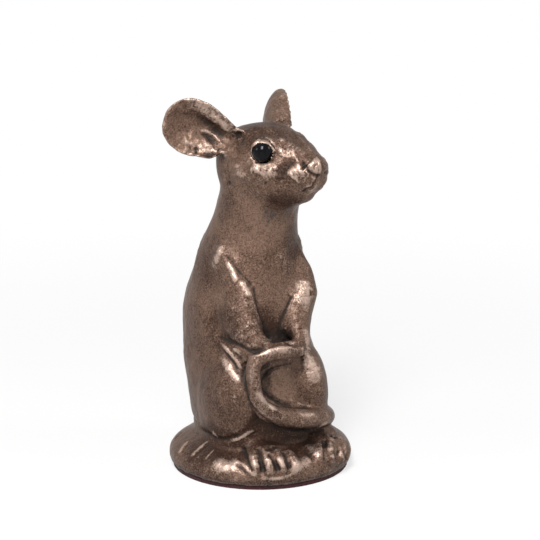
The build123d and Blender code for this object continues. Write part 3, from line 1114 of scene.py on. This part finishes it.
CHEST_AND_ARMS = (
    # side, elbow and haunch, with painted shade behind and under the elbow
    Stroke(((205, 288), (209, 305), (213, 321), (218, 335)), 4.5, -0.75, mark=0.8),
    Stroke(((230, 300), (238, 315), (245, 328), (252, 338)), 5.5, 0.65, mark=0.1),
    Stroke(((216, 333), (226, 338), (236, 343), (247, 348)), 2.6, -0.45),
    Stroke(((213, 360), (224, 378), (232, 396), (232, 412)), 6.5, 0.45, mark=0.0),
    # shoulder with a painted highlight, and the near arm's edge against the chest with painted shade beside
    # it
    Stroke(((212, 270), (216.5, 260), (220.5, 250), (223, 243)), 3.2, 0.60, twin=Twin.BODY, mark=0.45),
    Stroke(((216, 264), (219.5, 254), (221.5, 247)), 1.5, 0.15, mark=1.2),
    crease(((226, 255.5), (232, 262.5), (239, 270.5), (247, 279), (253, 286.5)), 1.0, 0.49, fade=0.1),
    crease(
        ((253, 286), (256, 297), (259.5, 309), (263, 321), (266.5, 333), (268.5, 342)),
        1.1, 0.49, fade=0.1,
    ),
    Stroke(((257, 296), (262, 312), (267, 330)), 2.4, -0.35),
    crease(((292, 296), (287, 307), (282, 319), (279.5, 331), (282, 341)), 1.1, 0.50, fade=0.12),
    # forearm, with painted highlights on its streaks and painted shade in the crease under the elbow
    Stroke(((227.5, 260), (230.5, 268), (234, 276), (237, 283)), 1.3, 0.25),
    Stroke(((240.5, 280), (245.5, 288.5), (250.5, 297)), 1.3, 0.25),
    Stroke(((235, 268), (239.5, 276), (243, 283)), 1.2, -0.22),
    Stroke(((222, 268), (224, 280), (223, 291)), 2.6, -0.20),
    crease(
        ((216, 336), (226, 341), (237, 346), (247, 350.5), (257, 350), (266, 345.5)),
        1.3, 0.90, mark=2.0,
    ),
    Stroke(((249, 331), (252, 333)), 2.2, -0.16, fade=0.01),
    # far arm with a painted highlight, and paw
    Stroke(((303, 279), (301, 291), (297, 305)), 3.2, 0.35, mark=1.3),
    Stroke(((306, 284), (308, 297), (305, 312)), 2.2, 0.15),
    crease(((310.5, 290), (311.5, 296)), 1.0, 0.42, fade=0.1),
    crease(((301.5, 318), (296, 323), (291, 322)), 1.0, 0.25),
    crease(((282, 339), (289, 343), (298, 345), (306, 343.5)), 1.1, 0.63),
    crease(((284, 330), (283, 338)), 1.0, 0.42, fade=0.1),
    # chest, with a faint painted highlight towards the far shoulder
    Stroke(((276, 252), (284, 262), (287, 275)), 3.4, 0.22, mark=0.35),
    Stroke(((293, 238), (291, 252), (292, 264)), 2.6, -0.18),
    # stains and scratches
    crease(((262, 236), (260, 240), (258, 243)), 0.9, 0.10, fade=0.1, mark=0.8),
    crease(((232, 215), (234, 220), (233, 225)), 1.3, 0.05, fade=0.1, mark=0.8),
    crease(((264, 262), (266, 266)), 1.0, 0.08, fade=0.1, mark=0.7),
    crease(((274, 263), (275.5, 267)), 1.0, 0.08, fade=0.1, mark=0.8),
    crease(((276, 288), (279, 283)), 0.9, 0.08, fade=0.1, mark=0.7),
    crease(((248, 329), (251, 327), (254, 330), (252.5, 334), (249, 333.5)), 0.9, 0.08, mark=0.6),
    crease(((270, 331), (276, 329), (281, 332)), 1.2, 0.12, mark=0.9),
    crease(((268, 344), (275, 342), (282, 343)), 1.2, 0.12, mark=0.9),
)

LAP = (
    # where the tail's tip lies in the paws
    crease(((253, 353), (262, 350.5), (271, 346.5), (281, 344), (292, 345)), 1.0, 0.42, fade=0.1),
    # folds at the hip, and a painted highlight on the thigh
    Stroke(((222, 345), (229, 352), (236, 360.5), (242, 370)), 0.95, 0.30),
    crease(((220, 347), (226, 354), (233, 362), (239, 371)), 0.95, 0.49),
    crease(((228, 345.5), (236, 353), (243, 361.5)), 1.1, 0.42),
    Stroke(((231, 349), (236.5, 352), (240, 357)), 0.9, 0.20),
    Stroke(((220, 355), (226, 364), (233, 374), (241, 383)), 1.7, 0.30, mark=1.1),
    # the tail's outer edge, painted shade along its underside, and painted highlights along its top
    crease(((246, 365), (244.5, 378), (246.5, 391), (250, 403), (257, 413)), 1.1, 0.50, fade=0.12),
    crease(((249, 402), (256, 412), (267, 420.5), (282, 426), (300, 429)), 2.8, 0.15, fade=0.1, mark=1.9),
    Stroke(((257.5, 391), (263, 399), (270, 405.5), (278, 410)), 1.4, 0.12, mark=1.1),
    Stroke(((259, 353), (270, 350.5), (281, 349), (293, 350)), 1.7, 0.12, mark=0.9),
    Stroke(((299, 414), (307, 415), (316, 414)), 1.2, 0.10, mark=0.7),
    Stroke(((251, 364), (251, 374), (252, 385)), 1.2, 0.08, mark=0.25),
    # the tail's lower and inner edges
    crease(((256, 412), (266, 420), (278, 427), (292, 431), (306, 430.5), (320, 427)), 1.1, 0.42, fade=0.1),
    crease(((265, 374), (262, 382), (263.5, 390), (270, 398), (281, 404), (294, 407)), 1.1, 0.50, fade=0.1),
    crease(((264, 376), (270, 369.5), (280, 366), (293, 363.5)), 1.2, 0.50, fade=0.1),
    # belly and far haunch, with painted highlights on the belly's lower edge and the haunch
    Stroke(((298, 366), (296.5, 377), (294.5, 388), (293, 400)), 2.8, -0.30, fade=0.2),
    Stroke(((296, 403.5), (304, 405.5), (313, 406.5)), 0.95, 0.25),
    Stroke(((304, 357), (310, 363), (315, 372), (317, 384)), 3.4, 0.15, mark=1.2),
    Stroke(((305, 328), (308, 340), (307, 352), (304, 361)), 2.0, 0.35),
)

FEET = (
    # near foot: between its toes, then along them with painted highlights
    crease(((243, 448), (246, 457), (249, 466), (252, 472)), 1.0, 0.65, fade=0.12, mark=1.4),
    crease(((258, 447), (260.5, 456), (262, 465), (265, 473)), 1.0, 0.55, fade=0.12, mark=1.3),
    crease(((269, 453), (273.5, 461), (280, 471)), 1.0, 0.55, fade=0.12, mark=1.3),
    crease(((283, 451), (286.5, 459), (289, 470)), 0.95, 0.50, fade=0.12, mark=1.3),
    Stroke(((240, 461), (246, 467), (251, 472.5), (259, 476)), 0.9, 0.12, mark=1.2),
    crease(((236, 463), (242, 469), (247, 475)), 0.90, 0.45),
    Stroke(((259, 477.5), (272, 479), (287, 476), (299, 469.5)), 0.9, 0.12, mark=0.9),
    Stroke(((252, 456), (255, 462), (257, 468)), 1.2, 0.20, mark=0.4),
    Stroke(((264, 453), (267, 459), (270, 465)), 1.1, 0.20, mark=0.9),
    Stroke(((277, 456), (281, 462), (284, 468)), 1.1, 0.22, mark=0.9),
    crease(((254, 459), (257, 457.5), (259, 459)), 0.85, 0.25),
    crease(((265, 464), (268, 462), (271, 464)), 0.85, 0.25),
    crease(((264, 450), (270, 449), (275, 453)), 0.9, 0.35),
    # painted highlights on the mound before, between and beside the feet
    Stroke(((213, 461), (222, 464.5), (232, 465), (241, 460)), 3.0, 0.35, mark=1.3),
    Stroke(((288, 471), (297, 467), (305, 461), (312, 457)), 2.4, 0.28, mark=1.2),
    Stroke(((306, 443), (312, 450), (319, 459)), 2.0, 0.25, mark=0.9),
    Stroke(((303, 447), (308, 454), (315, 461)), 1.3, -0.25, mark=1.5),
    # far foot: between its toes, then along them with painted highlights
    crease(((324, 440), (324.5, 450), (325, 461)), 0.95, 0.60, fade=0.12, mark=1.2),
    crease(((333, 440), (335.5, 449), (336, 460)), 0.95, 0.55, fade=0.12, mark=1.2),
    crease(((341, 442), (344, 450), (346, 460)), 0.90, 0.50, fade=0.12, mark=1.2),
    Stroke(((328, 445), (330, 452), (330.5, 458)), 1.1, 0.20, mark=0.5),
    Stroke(((338, 447), (340, 453), (341, 458)), 1.0, 0.18, mark=0.4),
    crease(((326, 452), (331, 453), (334, 451)), 0.85, 0.25),
    crease(((337, 451), (341, 452.5)), 0.85, 0.25, fade=0.1),
    crease(((325, 463), (332, 466.5), (340, 466), (345, 461)), 0.95, 0.30),
)

MOUND = (
    # under the haunch, with painted highlights beside the seam
    crease(((197, 427), (206, 432.5), (214, 437), (225, 439.5), (236, 437), (247, 431)), 1.1, 0.55),
    Stroke(((212, 432), (215.5, 436), (218, 438.5)), 1.1, 0.25, mark=1.4),
    Stroke(((228, 441), (238, 438.5), (246, 434), (256, 429.5)), 0.9, 0.18, mark=1.3),
    # scratches
    Stroke(((189, 440.5), (183, 446.5), (178.5, 454)), 0.62, 0.20, mark=1.6),
    crease(((191, 442), (185, 448), (181, 455)), 0.85, 0.30, mark=0.8),
    Stroke(((209, 440.5), (199.5, 448), (190.5, 457)), 0.65, 0.22, mark=1.7),
    crease(((211, 442.5), (201.5, 450), (193, 459)), 0.90, 0.32, mark=0.8),
    Stroke(((216, 448), (209, 455), (205, 460)), 0.62, 0.12, mark=0.9),
    # painted shade on the ground under the tail, and a painted highlight along its edge
    Stroke(((262, 436), (270, 441), (280, 442), (292, 438)), 1.6, -0.25, mark=2.0),
    Stroke(((305, 431), (317, 427.5), (328, 422.5)), 0.95, 0.20, mark=1.5),
)

HIDDEN_SIDES = (
    # spine and shoulders
    Stroke(
        ((0.0, 13.0, 76.0), (-0.5, 16.5, 66.0), (-1.0, 20.5, 54.0), (-1.2, 23.5, 42.0), (-0.8, 24.0, 30.0)),
        4.0, 0.25, fade=0.2, mark=0.2,
    ),
    Stroke(
        ((-6.0, 15.5, 64.0), (-9.5, 13.0, 60.0), (-12.0, 9.0, 54.0), (-12.5, 8.0, 47.0)),
        3.4, 0.30, twin=Twin.BODY, mark=0.2,
    ),
    # shoulder blades and flanks
    Stroke(((-4.5, 17.5, 61.0), (-7.5, 17.0, 54.0), (-9.0, 16.0, 47.0)), 3.4, -0.25, twin=Twin.BODY),
    Stroke(((-13.5, 12.0, 37.0), (-15.5, 7.5, 38.5), (-17.0, 3.0, 38.0)), 3.6, -0.20, twin=Twin.BODY),
    Stroke(
        ((-14.5, 14.0, 24.0), (-16.0, 10.0, 29.0), (-17.5, 5.0, 31.0)),
        3.6, 0.22, twin=Twin.BODY, mark=0.2,
    ),
    # seam with the mound
    crease(((-9.0, 21.0, 13.0), (-13.5, 16.5, 12.0), (-17.0, 9.5, 11.5), (-18.5, 2.0, 11.0)), 1.3, 0.42),
    crease(((-3.0, 24.5, 16.0), (1.0, 25.0, 15.5), (6.0, 23.5, 15.5)), 1.2, 0.42),
    # far side of haunch and arm
    Stroke(((15.5, 6.0, 30.0), (16.5, -2.0, 34.0), (15.0, -9.0, 33.0)), 2.8, -0.22),
    Stroke(((12.0, 2.5, 57.0), (13.0, 0.0, 50.0), (12.0, -4.0, 43.0)), 2.4, -0.25),
    # scratches round the mound
    crease(((-19.0, 12.0, 9.5), (-21.5, 10.0, 6.5)), 0.9, 0.42, fade=0.15),
    crease(((-12.0, 20.0, 8.0), (-14.0, 20.5, 5.0)), 0.9, 0.42, fade=0.15),
    crease(((20.0, 10.5, 8.5), (22.5, 8.0, 5.5)), 0.9, 0.42, fade=0.15),
    crease(((23.0, 0.0, 7.0), (24.0, -3.0, 4.5)), 0.9, 0.39, fade=0.15),
)

STROKES = (
    HIDDEN_SIDES,
    CHEST_AND_ARMS,
    LAP,
    FACE,
    NEAR_EAR,
    MOUND,
    EYELIDS,
    MUZZLE,
    FEET,
    HEAD_MARKS,
)

TAIL_LINE = (
    (2.1, 18.8, 12.6),
    (9.3, 16.9, 12.3),
    (14.5, 11.7, 12.3),
    (16.8, 4.0, 12.3),
    (16.5, -4.0, 12.6),
    (14.5, -10.2, 13.6),
    (11.7, -14.4, 14.8),
    (6.8, -17.3, 15.9),
    (0.2, -18.4, 17.1),
    (-5.8, -18.6, 19.5),
    (-9.6, -18.0, 22.9),
    (-11.2, -17.1, 26.9),
    (-11.2, -16.3, 30.8),
    (-9.3, -16.3, 33.8),
    (-5.4, -16.9, 35.0),
    (-1.0, -17.3, 35.3),
    (3.9, -16.7, 35.1),
)

SOFT_ZONES = (
    Zone((-11.5, -0.5, 61.0), 9.0, 1.0),
    Zone((10.0, -3.5, 61.0), 8.0, 1.0),
    Zone((-14.5, 3.0, 50.0), 9.0, 1.0),
    Zone((-14.0, 4.0, 40.0), 9.0, 0.9),
    Zone((0.0, 9.0, 80.0), 12.0, 1.0),
    Zone((2.0, -6.0, 70.0), 10.0, 0.8),
    Zone((-12.0, 4.0, 34.0), 10.0, 0.9),
    Zone((12.0, 4.0, 34.0), 10.0, 0.9),
    Zone((-8.0, -3.0, 71.5), 8.5, 1.0),
    Zone((-5.0, -9.0, 70.5), 7.5, 1.0),
    Zone((6.5, -8.0, 71.0), 7.5, 1.0),
    Zone((8.0, 2.0, 72.5), 8.0, 1.0),
    Zone((0.0, 8.0, 74.0), 9.0, 1.0),
    Zone((-8.0, 3.0, 78.0), 7.0, 1.0),
    Zone((3.5, -12.5, 26.0), 5.5, 0.6),
    Zone((-16.5, 4.0, 35.5), 8.0, 1.0),
)

FIRM_ZONES = (
    Zone((-17.0, 0.9, 91.2), 11.0, 0.10),
    Zone((12.5, 12.0, 89.0), 13.5, 0.10),
    Zone((-6.0, -21.0, 6.5), 8.0, 0.12),
    Zone((15.0, -17.5, 6.0), 6.5, 0.12),
    Zone((8.3, -18.0, 82.5), 5.0, 0.22),
)

CRINKLED_ZONES = (
    Zone((254, 168), 4.5, 0.8),
    Zone((190, 144), 5.5, 0.9),
    Zone((224, 120), 4.5, 0.6),
    Zone((221, 151), 4.0, 0.8),
    Zone((276, 106), 6.5, 0.3),
    Zone((240, 136), 3.5, 0.7),
    Zone((299, 172), 3.0, 0.25),
    Zone((286, 150), 2.6, 0.5),
    Zone((302, 292), 5.0, 0.5),
    Zone((311, 368), 5.0, 0.5),
    Zone((334, 452), 5.0, 0.7),
    Zone((265, 462), 6.0, 0.5),
)

# Painted shade where a strength is below nought, and painted light where it is above, on the patina's tone.
PAINTED_LIGHT_AND_SHADE_ZONES = (
    Zone((224, 330), 8.0, -0.35),
    Zone((263, 322), 5.0, -0.35),
    Zone((228, 450), 6.0, -0.35),
    Zone((240, 312), 7.0, -0.12),
    Zone((206, 262), 9.0, -0.18),
    Zone((228, 212), 6.0, -0.15),
    Zone((284, 206), 7.0, -0.35),
    Zone((293, 240), 6.0, -0.25),
    Zone((268, 330), 5.0, -0.15),
    Zone((210, 448), 9.0, -0.45),
    Zone((262, 426), 6.0, -0.45),
    Zone((286, 434), 6.0, -0.50),
    Zone((310, 434), 5.0, -0.30),
    Zone((240, 448), 7.0, -0.40),
    Zone((300, 442), 9.0, -0.45),
    Zone((266, 428), 7.0, -0.40),
    Zone((268, 410), 5.0, -0.20),
    Zone((258, 129), 9.0, -0.40),
    Zone((290, 138), 5.0, -0.25),
    Zone((250, 182), 6.0, -0.10),
    Zone((283, 174), 3.5, -0.30),
    Zone((215, 395), 11.0, -0.12),
    Zone((256, 225), 10.0, 0.20),
    Zone((276, 106), 8.0, 0.25),
    Zone((192, 144), 6.0, 0.45),
    Zone((264, 290), 9.0, 0.08),
    Zone((277, 386), 7.0, 0.40),
    Zone((260, 480), 9.0, 0.15),
    Zone((220, 480), 9.0, 0.12),
    Zone((312, 372), 6.0, 0.20),
)


# Sub-assemblies


def add_object(mesh: bpy.types.Mesh, material: bpy.types.Material) -> bpy.types.Object:
    """Adds an object of the mesh's own name.

    Args:
        mesh: Its form, at the origin.
        material: Its finish.

    Returns:
        The object.
    """
    added = bpy.data.objects.new(mesh.name, mesh)
    bpy.context.scene.collection.objects.link(added)
    mesh.materials.append(material)
    return added


@dataclass(frozen=True)
class Wear:
    """How form and strokes turn into wash and shine, with painted shade and painted highlights among them.

    Form is how deep a point lies, in millimetres, under the skin when that is rubbed a few times, for
    fine form, or many times, for broad form.
    """

    fine_rounds: int = 8
    broad_rounds: int = 50
    fine_wash: float = 5.0
    broad_wash: float = 0.5833
    stroke_wash_and_shade: float = 0.42
    fine_shine: float = 4.0
    broad_shine: float = 0.2571
    stroke_shine: float = 0.60
    middle_tone: float = 0.5
    sky_reach: float = 14.0
    sky_rays: int = 14
    quick_sky_rays: int = 6

    def write(self, clay: Clay) -> None:
        """Writes what the patina reads.

        Args:
            clay: The worked clay.
        """
        fine, broad = clay.hollows(self.fine_rounds), clay.hollows(self.broad_rounds)
        # The stroke wash holds painted shade and the stroke shine painted highlights, beside the patina
        # wash and rubbing of the form.
        wash_and_shade, shine = clay.wash_and_shade * self.stroke_wash_and_shade, clay.shine * self.stroke_shine
        clay.keep("hollow", wash_and_shade + fine * self.fine_wash + broad * self.broad_wash)
        clay.keep("crest", shine - fine * self.fine_shine - broad * self.broad_shine)
        # The middle tone, with painted shade and painted light from the zones.
        tone = np.full(len(clay.places), self.middle_tone)
        for strength, share in clay.shares(PAINTED_LIGHT_AND_SHADE_ZONES):
            tone += share * strength
        clay.keep("tone", tone)
        rays = self.sky_rays
        clay.keep("sky", clay.openness(rays, self.sky_reach))


@dataclass
class Casting:
    """Mouse and mound in one skin of bronze-filled resin, with a hollow that the filling takes up.

    The lengths are in millimetres.
    """

    node: str = "bronze_shell"
    filling: str = "core_fill"
    weld: float = 0.002
    fit: float = 0.02
    grain: float = 0.435
    floor: float = 1.25
    foot: float = 0.12
    foot_blend: float = 1.5
    foot_softness: float = 0.15
    rounds: int = 84
    facet_softness: float = 0.42
    tail_softness: float = 0.16
    tail_reach: float = 3.9
    eye_softness: float = 0.06
    eye_reach: float = 4.4
    last_softness: float = 0.3
    sockets: tuple[Socket, ...] = (Socket((-4.10, -10.74, 86.40)), Socket((8.69, -4.07, 86.03)))
    swells: Ripple = Ripple(9.0, 0.16, 3.0)
    dimples: Ripple = Ripple(2.2, 0.08, 11.0)
    crinkles: Ripple = Ripple(1.2, 0.34, 5.0)
    wear: Wear = Wear()
    finish: BronzePatina = BronzePatina()

    def build(self, frame: dict) -> bpy.types.Object:
        """Makes the casting and dresses it.

        Args:
            frame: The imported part.

        Returns:
            The finished piece.
        """
        skin = self._copy(frame["nodes"][self.node])
        hollow = self._split_hollow(skin, frame["nodes"][self.filling])
        clay = Clay(self._even_out(skin))
        self._soften_facets(clay)
        for socket in self.sockets:
            clay.draw_in(socket)
        self._model(clay)
        self.wear.write(clay)
        mesh = self._close_floor(clay.settle(), hollow)
        piece = add_object(mesh, self.finish.make())
        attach(piece, BODY)
        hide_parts(self.node)
        return piece

    def _copy(self, source: bpy.types.Object) -> bmesh.types.BMesh:
        """Copies a solid.

        Args:
            source: The solid's node.

        Returns:
            Its mesh in millimetres, with no doubled points.
        """
        bm = bmesh.new()
        bm.from_mesh(source.data)
        bmesh.ops.scale(bm, vec=Vector((1, 1, 1)) / MILLIMETRE, verts=bm.verts)
        bmesh.ops.remove_doubles(bm, verts=bm.verts, dist=self.weld)
        return bm

    def _split_hollow(self, skin: bmesh.types.BMesh, filling: bpy.types.Object) -> bmesh.types.BMesh:
        """Takes the inner wall out of the skin and closes the skin underneath.

        Args:
            skin: The skin with its inner wall, which is changed.
            filling: The solid that fits the inner wall.

        Returns:
            The inner wall by itself.
        """
        fitted = self._copy(filling)
        tree = BVHTree.FromBMesh(fitted)
        middles = [face.calc_center_median() for face in skin.faces]
        over_floor = [middle.z > self.floor + self.weld / 2 for middle in middles]
        fits = [tree.find_nearest(middle)[3] < self.fit for middle in middles]
        fitted.free()
        inner = [face for face, *is_inner in zip(skin.faces, fits, over_floor) if all(is_inner)]
        hollow = skin.copy()
        places = {face.index for face in inner}
        outside = [face for face in hollow.faces if face.index not in places]
        bmesh.ops.delete(hollow, geom=outside, context="FACES")
        bmesh.ops.delete(skin, geom=inner, context="FACES")
        rim = [edge for edge in skin.edges if edge.is_boundary]
        bmesh.ops.holes_fill(skin, edges=rim, sides=0)
        return hollow

    def _even_out(self, skin: bmesh.types.BMesh) -> bpy.types.Mesh:
        """Covers the skin with small even faces.

        Args:
            skin: The closed skin, which is freed.

        Returns:
            The even mesh.
        """
        rough = bpy.data.meshes.new("rough_skin")
        skin.to_mesh(rough)
        skin.free()
        holder = bpy.data.objects.new("rough_skin", rough)
        bpy.context.scene.collection.objects.link(holder)
        remesh = holder.modifiers.new("even", "REMESH")
        remesh.mode = "VOXEL"
        remesh.voxel_size = self.grain
        remesh.use_smooth_shade = True
        depsgraph = bpy.context.evaluated_depsgraph_get()
        even = bpy.data.meshes.new_from_object(holder.evaluated_get(depsgraph))
        even.name = "bronze_casting"
        bpy.data.objects.remove(holder)
        return even

    def _tail_reach(self, clay: Clay) -> np.ndarray:
        """How near each point is to the tail.

        Args:
            clay: The clay.

        Returns:
            Shares from nought to one.
        """
        line = np.array(TAIL_LINE)
        nearest = np.full(len(clay.places), np.inf)
        for start, end in zip(line[:-1], line[1:]):
            span = end - start
            along = np.clip(((clay.places - start) @ span) / (span @ span), 0, 1)
            gap = np.linalg.norm(clay.places - start - along[:, None] * span, axis=1)
            nearest = np.minimum(nearest, gap)
        return np.clip(self.tail_reach - nearest, 0, 1)

    def _soften_facets(self, clay: Clay) -> None:
        """Rubs the facets away and blends the joins, without thinning the thin forms.

        Args:
            clay: The clay, which is changed.
        """
        softness = np.full(len(clay.places), self.facet_softness)
        for strength, share in clay.shares(SOFT_ZONES):
            softness += (strength - softness) * share
        eyes = (Zone(socket.centre, self.eye_reach, self.eye_softness) for socket in self.sockets)
        firm = [*clay.shares((*FIRM_ZONES, *eyes)), (self.tail_softness, self._tail_reach(clay))]
        for strength, share in firm:
            softness += (np.minimum(strength, softness) - softness) * share
        height = (clay.places[:, 2] - self.floor) / self.foot_blend
        clay.soften(softness * np.clip(height, self.foot_softness, 1), self.rounds)

    def _model(self, clay: Clay) -> None:
        """Works the forms, from the broad ones to the marks.

        Args:
            clay: The clay, which is changed.
        """
        clay.push(PUSHES)
        clay.ripple(self.swells)
        for strokes in STROKES:
            clay.press(strokes)
        clay.ripple(self.dimples)
        crinkled = np.zeros(len(clay.places))
        for strength, share in clay.shares(CRINKLED_ZONES):
            crinkled = np.maximum(crinkled, share * strength)
        clay.ripple(self.crinkles, crinkled)
        clay.soften(np.full(len(clay.places), self.last_softness), 1)

    def _close_floor(self, mesh: bpy.types.Mesh, hollow: bmesh.types.BMesh) -> bpy.types.Mesh:
        """Puts the inner wall back and joins it to the skin with a flat foot ring.

        Args:
            mesh: The worked skin, in millimetres.
            hollow: The inner wall, which is freed.

        Returns:
            The casting's mesh, in metres.
        """
        bm = bmesh.new()
        bm.from_mesh(mesh)
        geometry = [*bm.verts, *bm.edges, *bm.faces]
        cut = Vector((0, 0, self.floor + self.foot))
        bmesh.ops.bisect_plane(bm, geom=geometry, plane_co=cut, plane_no=(0, 0, 1), clear_inner=True)
        rim = [edge for edge in bm.edges if edge.is_boundary]
        lowered = bmesh.ops.extrude_edge_only(bm, edges=rim)["geom"]
        for vertex in (item for item in lowered if isinstance(item, bmesh.types.BMVert)):
            vertex.co.z = self.floor
        inner = bpy.data.meshes.new("inner_wall")
        for face in hollow.faces:
            face.smooth = False
        hollow.to_mesh(inner)
        hollow.free()
        bm.from_mesh(inner)
        bpy.data.meshes.remove(inner)
        loops = [edge for edge in bm.edges if edge.is_boundary]
        ring = bmesh.ops.triangle_fill(bm, use_beauty=True, edges=loops)["geom"]
        for face in (item for item in ring if isinstance(item, bmesh.types.BMFace)):
            if face.normal.z > 0:
                face.normal_flip()
        bmesh.ops.triangulate(bm, faces=bm.faces)
        bmesh.ops.scale(bm, vec=Vector((1, 1, 1)) * MILLIMETRE, verts=bm.verts)
        bm.to_mesh(mesh)
        bm.free()
        return mesh


@dataclass
class FeltPad:
    """The round felt pad under the casting, with a frayed edge."""

    node: str = "felt_pad"
    segments: int = 300
    layers: int = 5
    edge_share: float = 0.02
    fray: float = 0.20 * MILLIMETRE
    fray_size: float = 0.45 * MILLIMETRE
    finish: Felt = Felt()

    def build(self, casting: bpy.types.Object) -> bpy.types.Object:
        """Cuts the pad and dresses it.

        Args:
            casting: What the pad is glued to; not used.

        Returns:
            The finished piece.
        """
        low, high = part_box(self.node)
        radius, thickness = (high.x - low.x) / 2, high.z - low.z
        bm = bmesh.new()
        bmesh.ops.create_circle(bm, cap_ends=True, segments=self.segments, radius=radius)
        for vertex in bm.verts:
            vertex.co.z += low.z
        top = list(bm.faces)
        for _ in range(self.layers):
            made = bmesh.ops.extrude_face_region(bm, geom=top)["geom"]
            bmesh.ops.delete(bm, geom=[face for face in top if face.is_valid], context="FACES_ONLY")
            lifted = [item for item in made if isinstance(item, bmesh.types.BMVert)]
            bmesh.ops.translate(bm, vec=(0, 0, thickness / self.layers), verts=lifted)
            top = [item for item in made if isinstance(item, bmesh.types.BMFace)]
        rim = [edge for edge in bm.edges if edge.is_boundary]
        bottom = bmesh.ops.holes_fill(bm, edges=rim, sides=0)["faces"]
        bmesh.ops.inset_region(bm, faces=[*top, *bottom], thickness=radius * self.edge_share)
        bmesh.ops.recalc_face_normals(bm, faces=bm.faces)
        for vertex in bm.verts:
            reach = Vector((vertex.co.x, vertex.co.y)).length
            if reach > radius * (1 - self.edge_share / 2):
                rough = noise.noise(vertex.co / self.fray_size) * 0.5 + 0.5
                shrink = 1 - rough * self.fray / radius
                vertex.co.x *= shrink
                vertex.co.y *= shrink
        for face in bm.faces:
            face.smooth = len(face.verts) == 4
        mesh = bpy.data.meshes.new("felt_base")
        bm.to_mesh(mesh)
        bm.free()
        piece = add_object(mesh, self.finish.make())
        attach(piece, BODY)
        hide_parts(self.node)
        return piece


@dataclass
class FittedParts:
    """The glass eyes and what is hidden behind the skin, which keep the solids' own shapes."""

    glass: BlackGlass = BlackGlass()
    putty: DullFill = DullFill("eye_putty", (0.020, 0.014, 0.011), (0.060, 0.045, 0.037), 0.4)
    stone: DullFill = DullFill("stone_fill", (0.42, 0.38, 0.32), (0.70, 0.66, 0.60), 1.4, 0.9)
    glue: DullFill = DullFill("dried_glue", (0.55, 0.50, 0.36), (0.78, 0.74, 0.58), 2.0, 0.45)

    def dress(self, frame: dict) -> None:
        """Gives each solid its finish.

        Args:
            frame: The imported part.
        """
        finishes = {
            ("eye_right", "eye_left"): self.glass.make(),
            ("eye_cement_right", "eye_cement_left"): self.putty.make(),
            ("core_fill",): self.stone.make(),
            ("pad_adhesive",): self.glue.make(),
        }
        for names, material in finishes.items():
            for name in names:
                self._coat(frame["nodes"][name], material)
                log.info("%s: %s", name, material.name)

    @staticmethod
    def _coat(piece: bpy.types.Object, material: bpy.types.Material) -> None:
        """Puts a material in every slot of a piece.

        Args:
            piece: The piece.
            material: Its finish.
        """
        if not piece.material_slots:
            piece.data.materials.append(material)
        for held in piece.material_slots:
            held.material = material


@dataclass(frozen=True)
class Lamp:
    """An oblong soft lamp that faces the figure, in metres and watts."""

    name: str
    place: tuple[float, float, float]
    size: tuple[float, float]
    power: float
    target: tuple[float, float, float] = (0, 0, 0.055)

    def hang(self) -> None:
        """Adds the lamp."""
        lamp = bpy.data.lights.new(self.name, "AREA")
        lamp.shape = "RECTANGLE"
        lamp.size, lamp.size_y = self.size
        lamp.energy = self.power
        holder = bpy.data.objects.new(self.name, lamp)
        bpy.context.scene.collection.objects.link(holder)
        holder.location = self.place
        aim = Vector(self.target) - Vector(self.place)
        holder.rotation_euler = aim.to_track_quat("-Z", "Y").to_euler()


@dataclass
class Stage:
    """The white floor, the soft studio light and the camera."""

    floor_radius: float = 4.0
    floor_sides: int = 96
    ambient: float = 0.16
    lamps: tuple[Lamp, ...] = (
        Lamp("key", (-0.30, -0.38, 0.63), (0.34, 0.50), 3.2),
        Lamp("window", (-0.28, -0.38, 0.62), (0.15, 0.32), 4.4),
        Lamp("right", (0.54, -0.38, 0.51), (0.25, 0.25), 1.2),
        Lamp("left", (-0.73, 0.10, 0.40), (0.25, 0.25), 1.0),
    )
    finish: PaleFloor = PaleFloor()

    def build(self) -> None:
        """Sets the stage."""
        bm = bmesh.new()
        bmesh.ops.create_circle(bm, cap_ends=True, segments=self.floor_sides, radius=self.floor_radius)
        mesh = bpy.data.meshes.new("floor")
        bm.to_mesh(mesh)
        bm.free()
        add_object(mesh, self.finish.make())
        for lamp in self.lamps:
            lamp.hang()
        self._light_room()
        VIEW.make_camera()
        bpy.context.scene.view_settings.view_transform = "Standard"

    def _light_room(self) -> None:
        """Fills the room with even white light, and shows it white."""
        world = bpy.data.worlds.new("room")
        bpy.context.scene.world = world
        bench = Bench(world)
        strength = self.ambient + bench.seen_directly() * (1 - self.ambient)
        bench.close(bench.add("ShaderNodeBackground", {}, {"Strength": strength})["Background"])


def main() -> None:
    """Builds every piece in order."""
    logging.basicConfig(level=logging.INFO, format="%(message)s", stream=sys.stdout)
    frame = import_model()
    casting = Casting().build(frame)
    log.info("%s: %d faces", casting.name, len(casting.data.polygons))
    pad = FeltPad().build(casting)
    log.info("%s: %d faces", pad.name, len(pad.data.polygons))
    FittedParts().dress(frame)
    Stage().build()


if __name__ == "__main__":
    main()
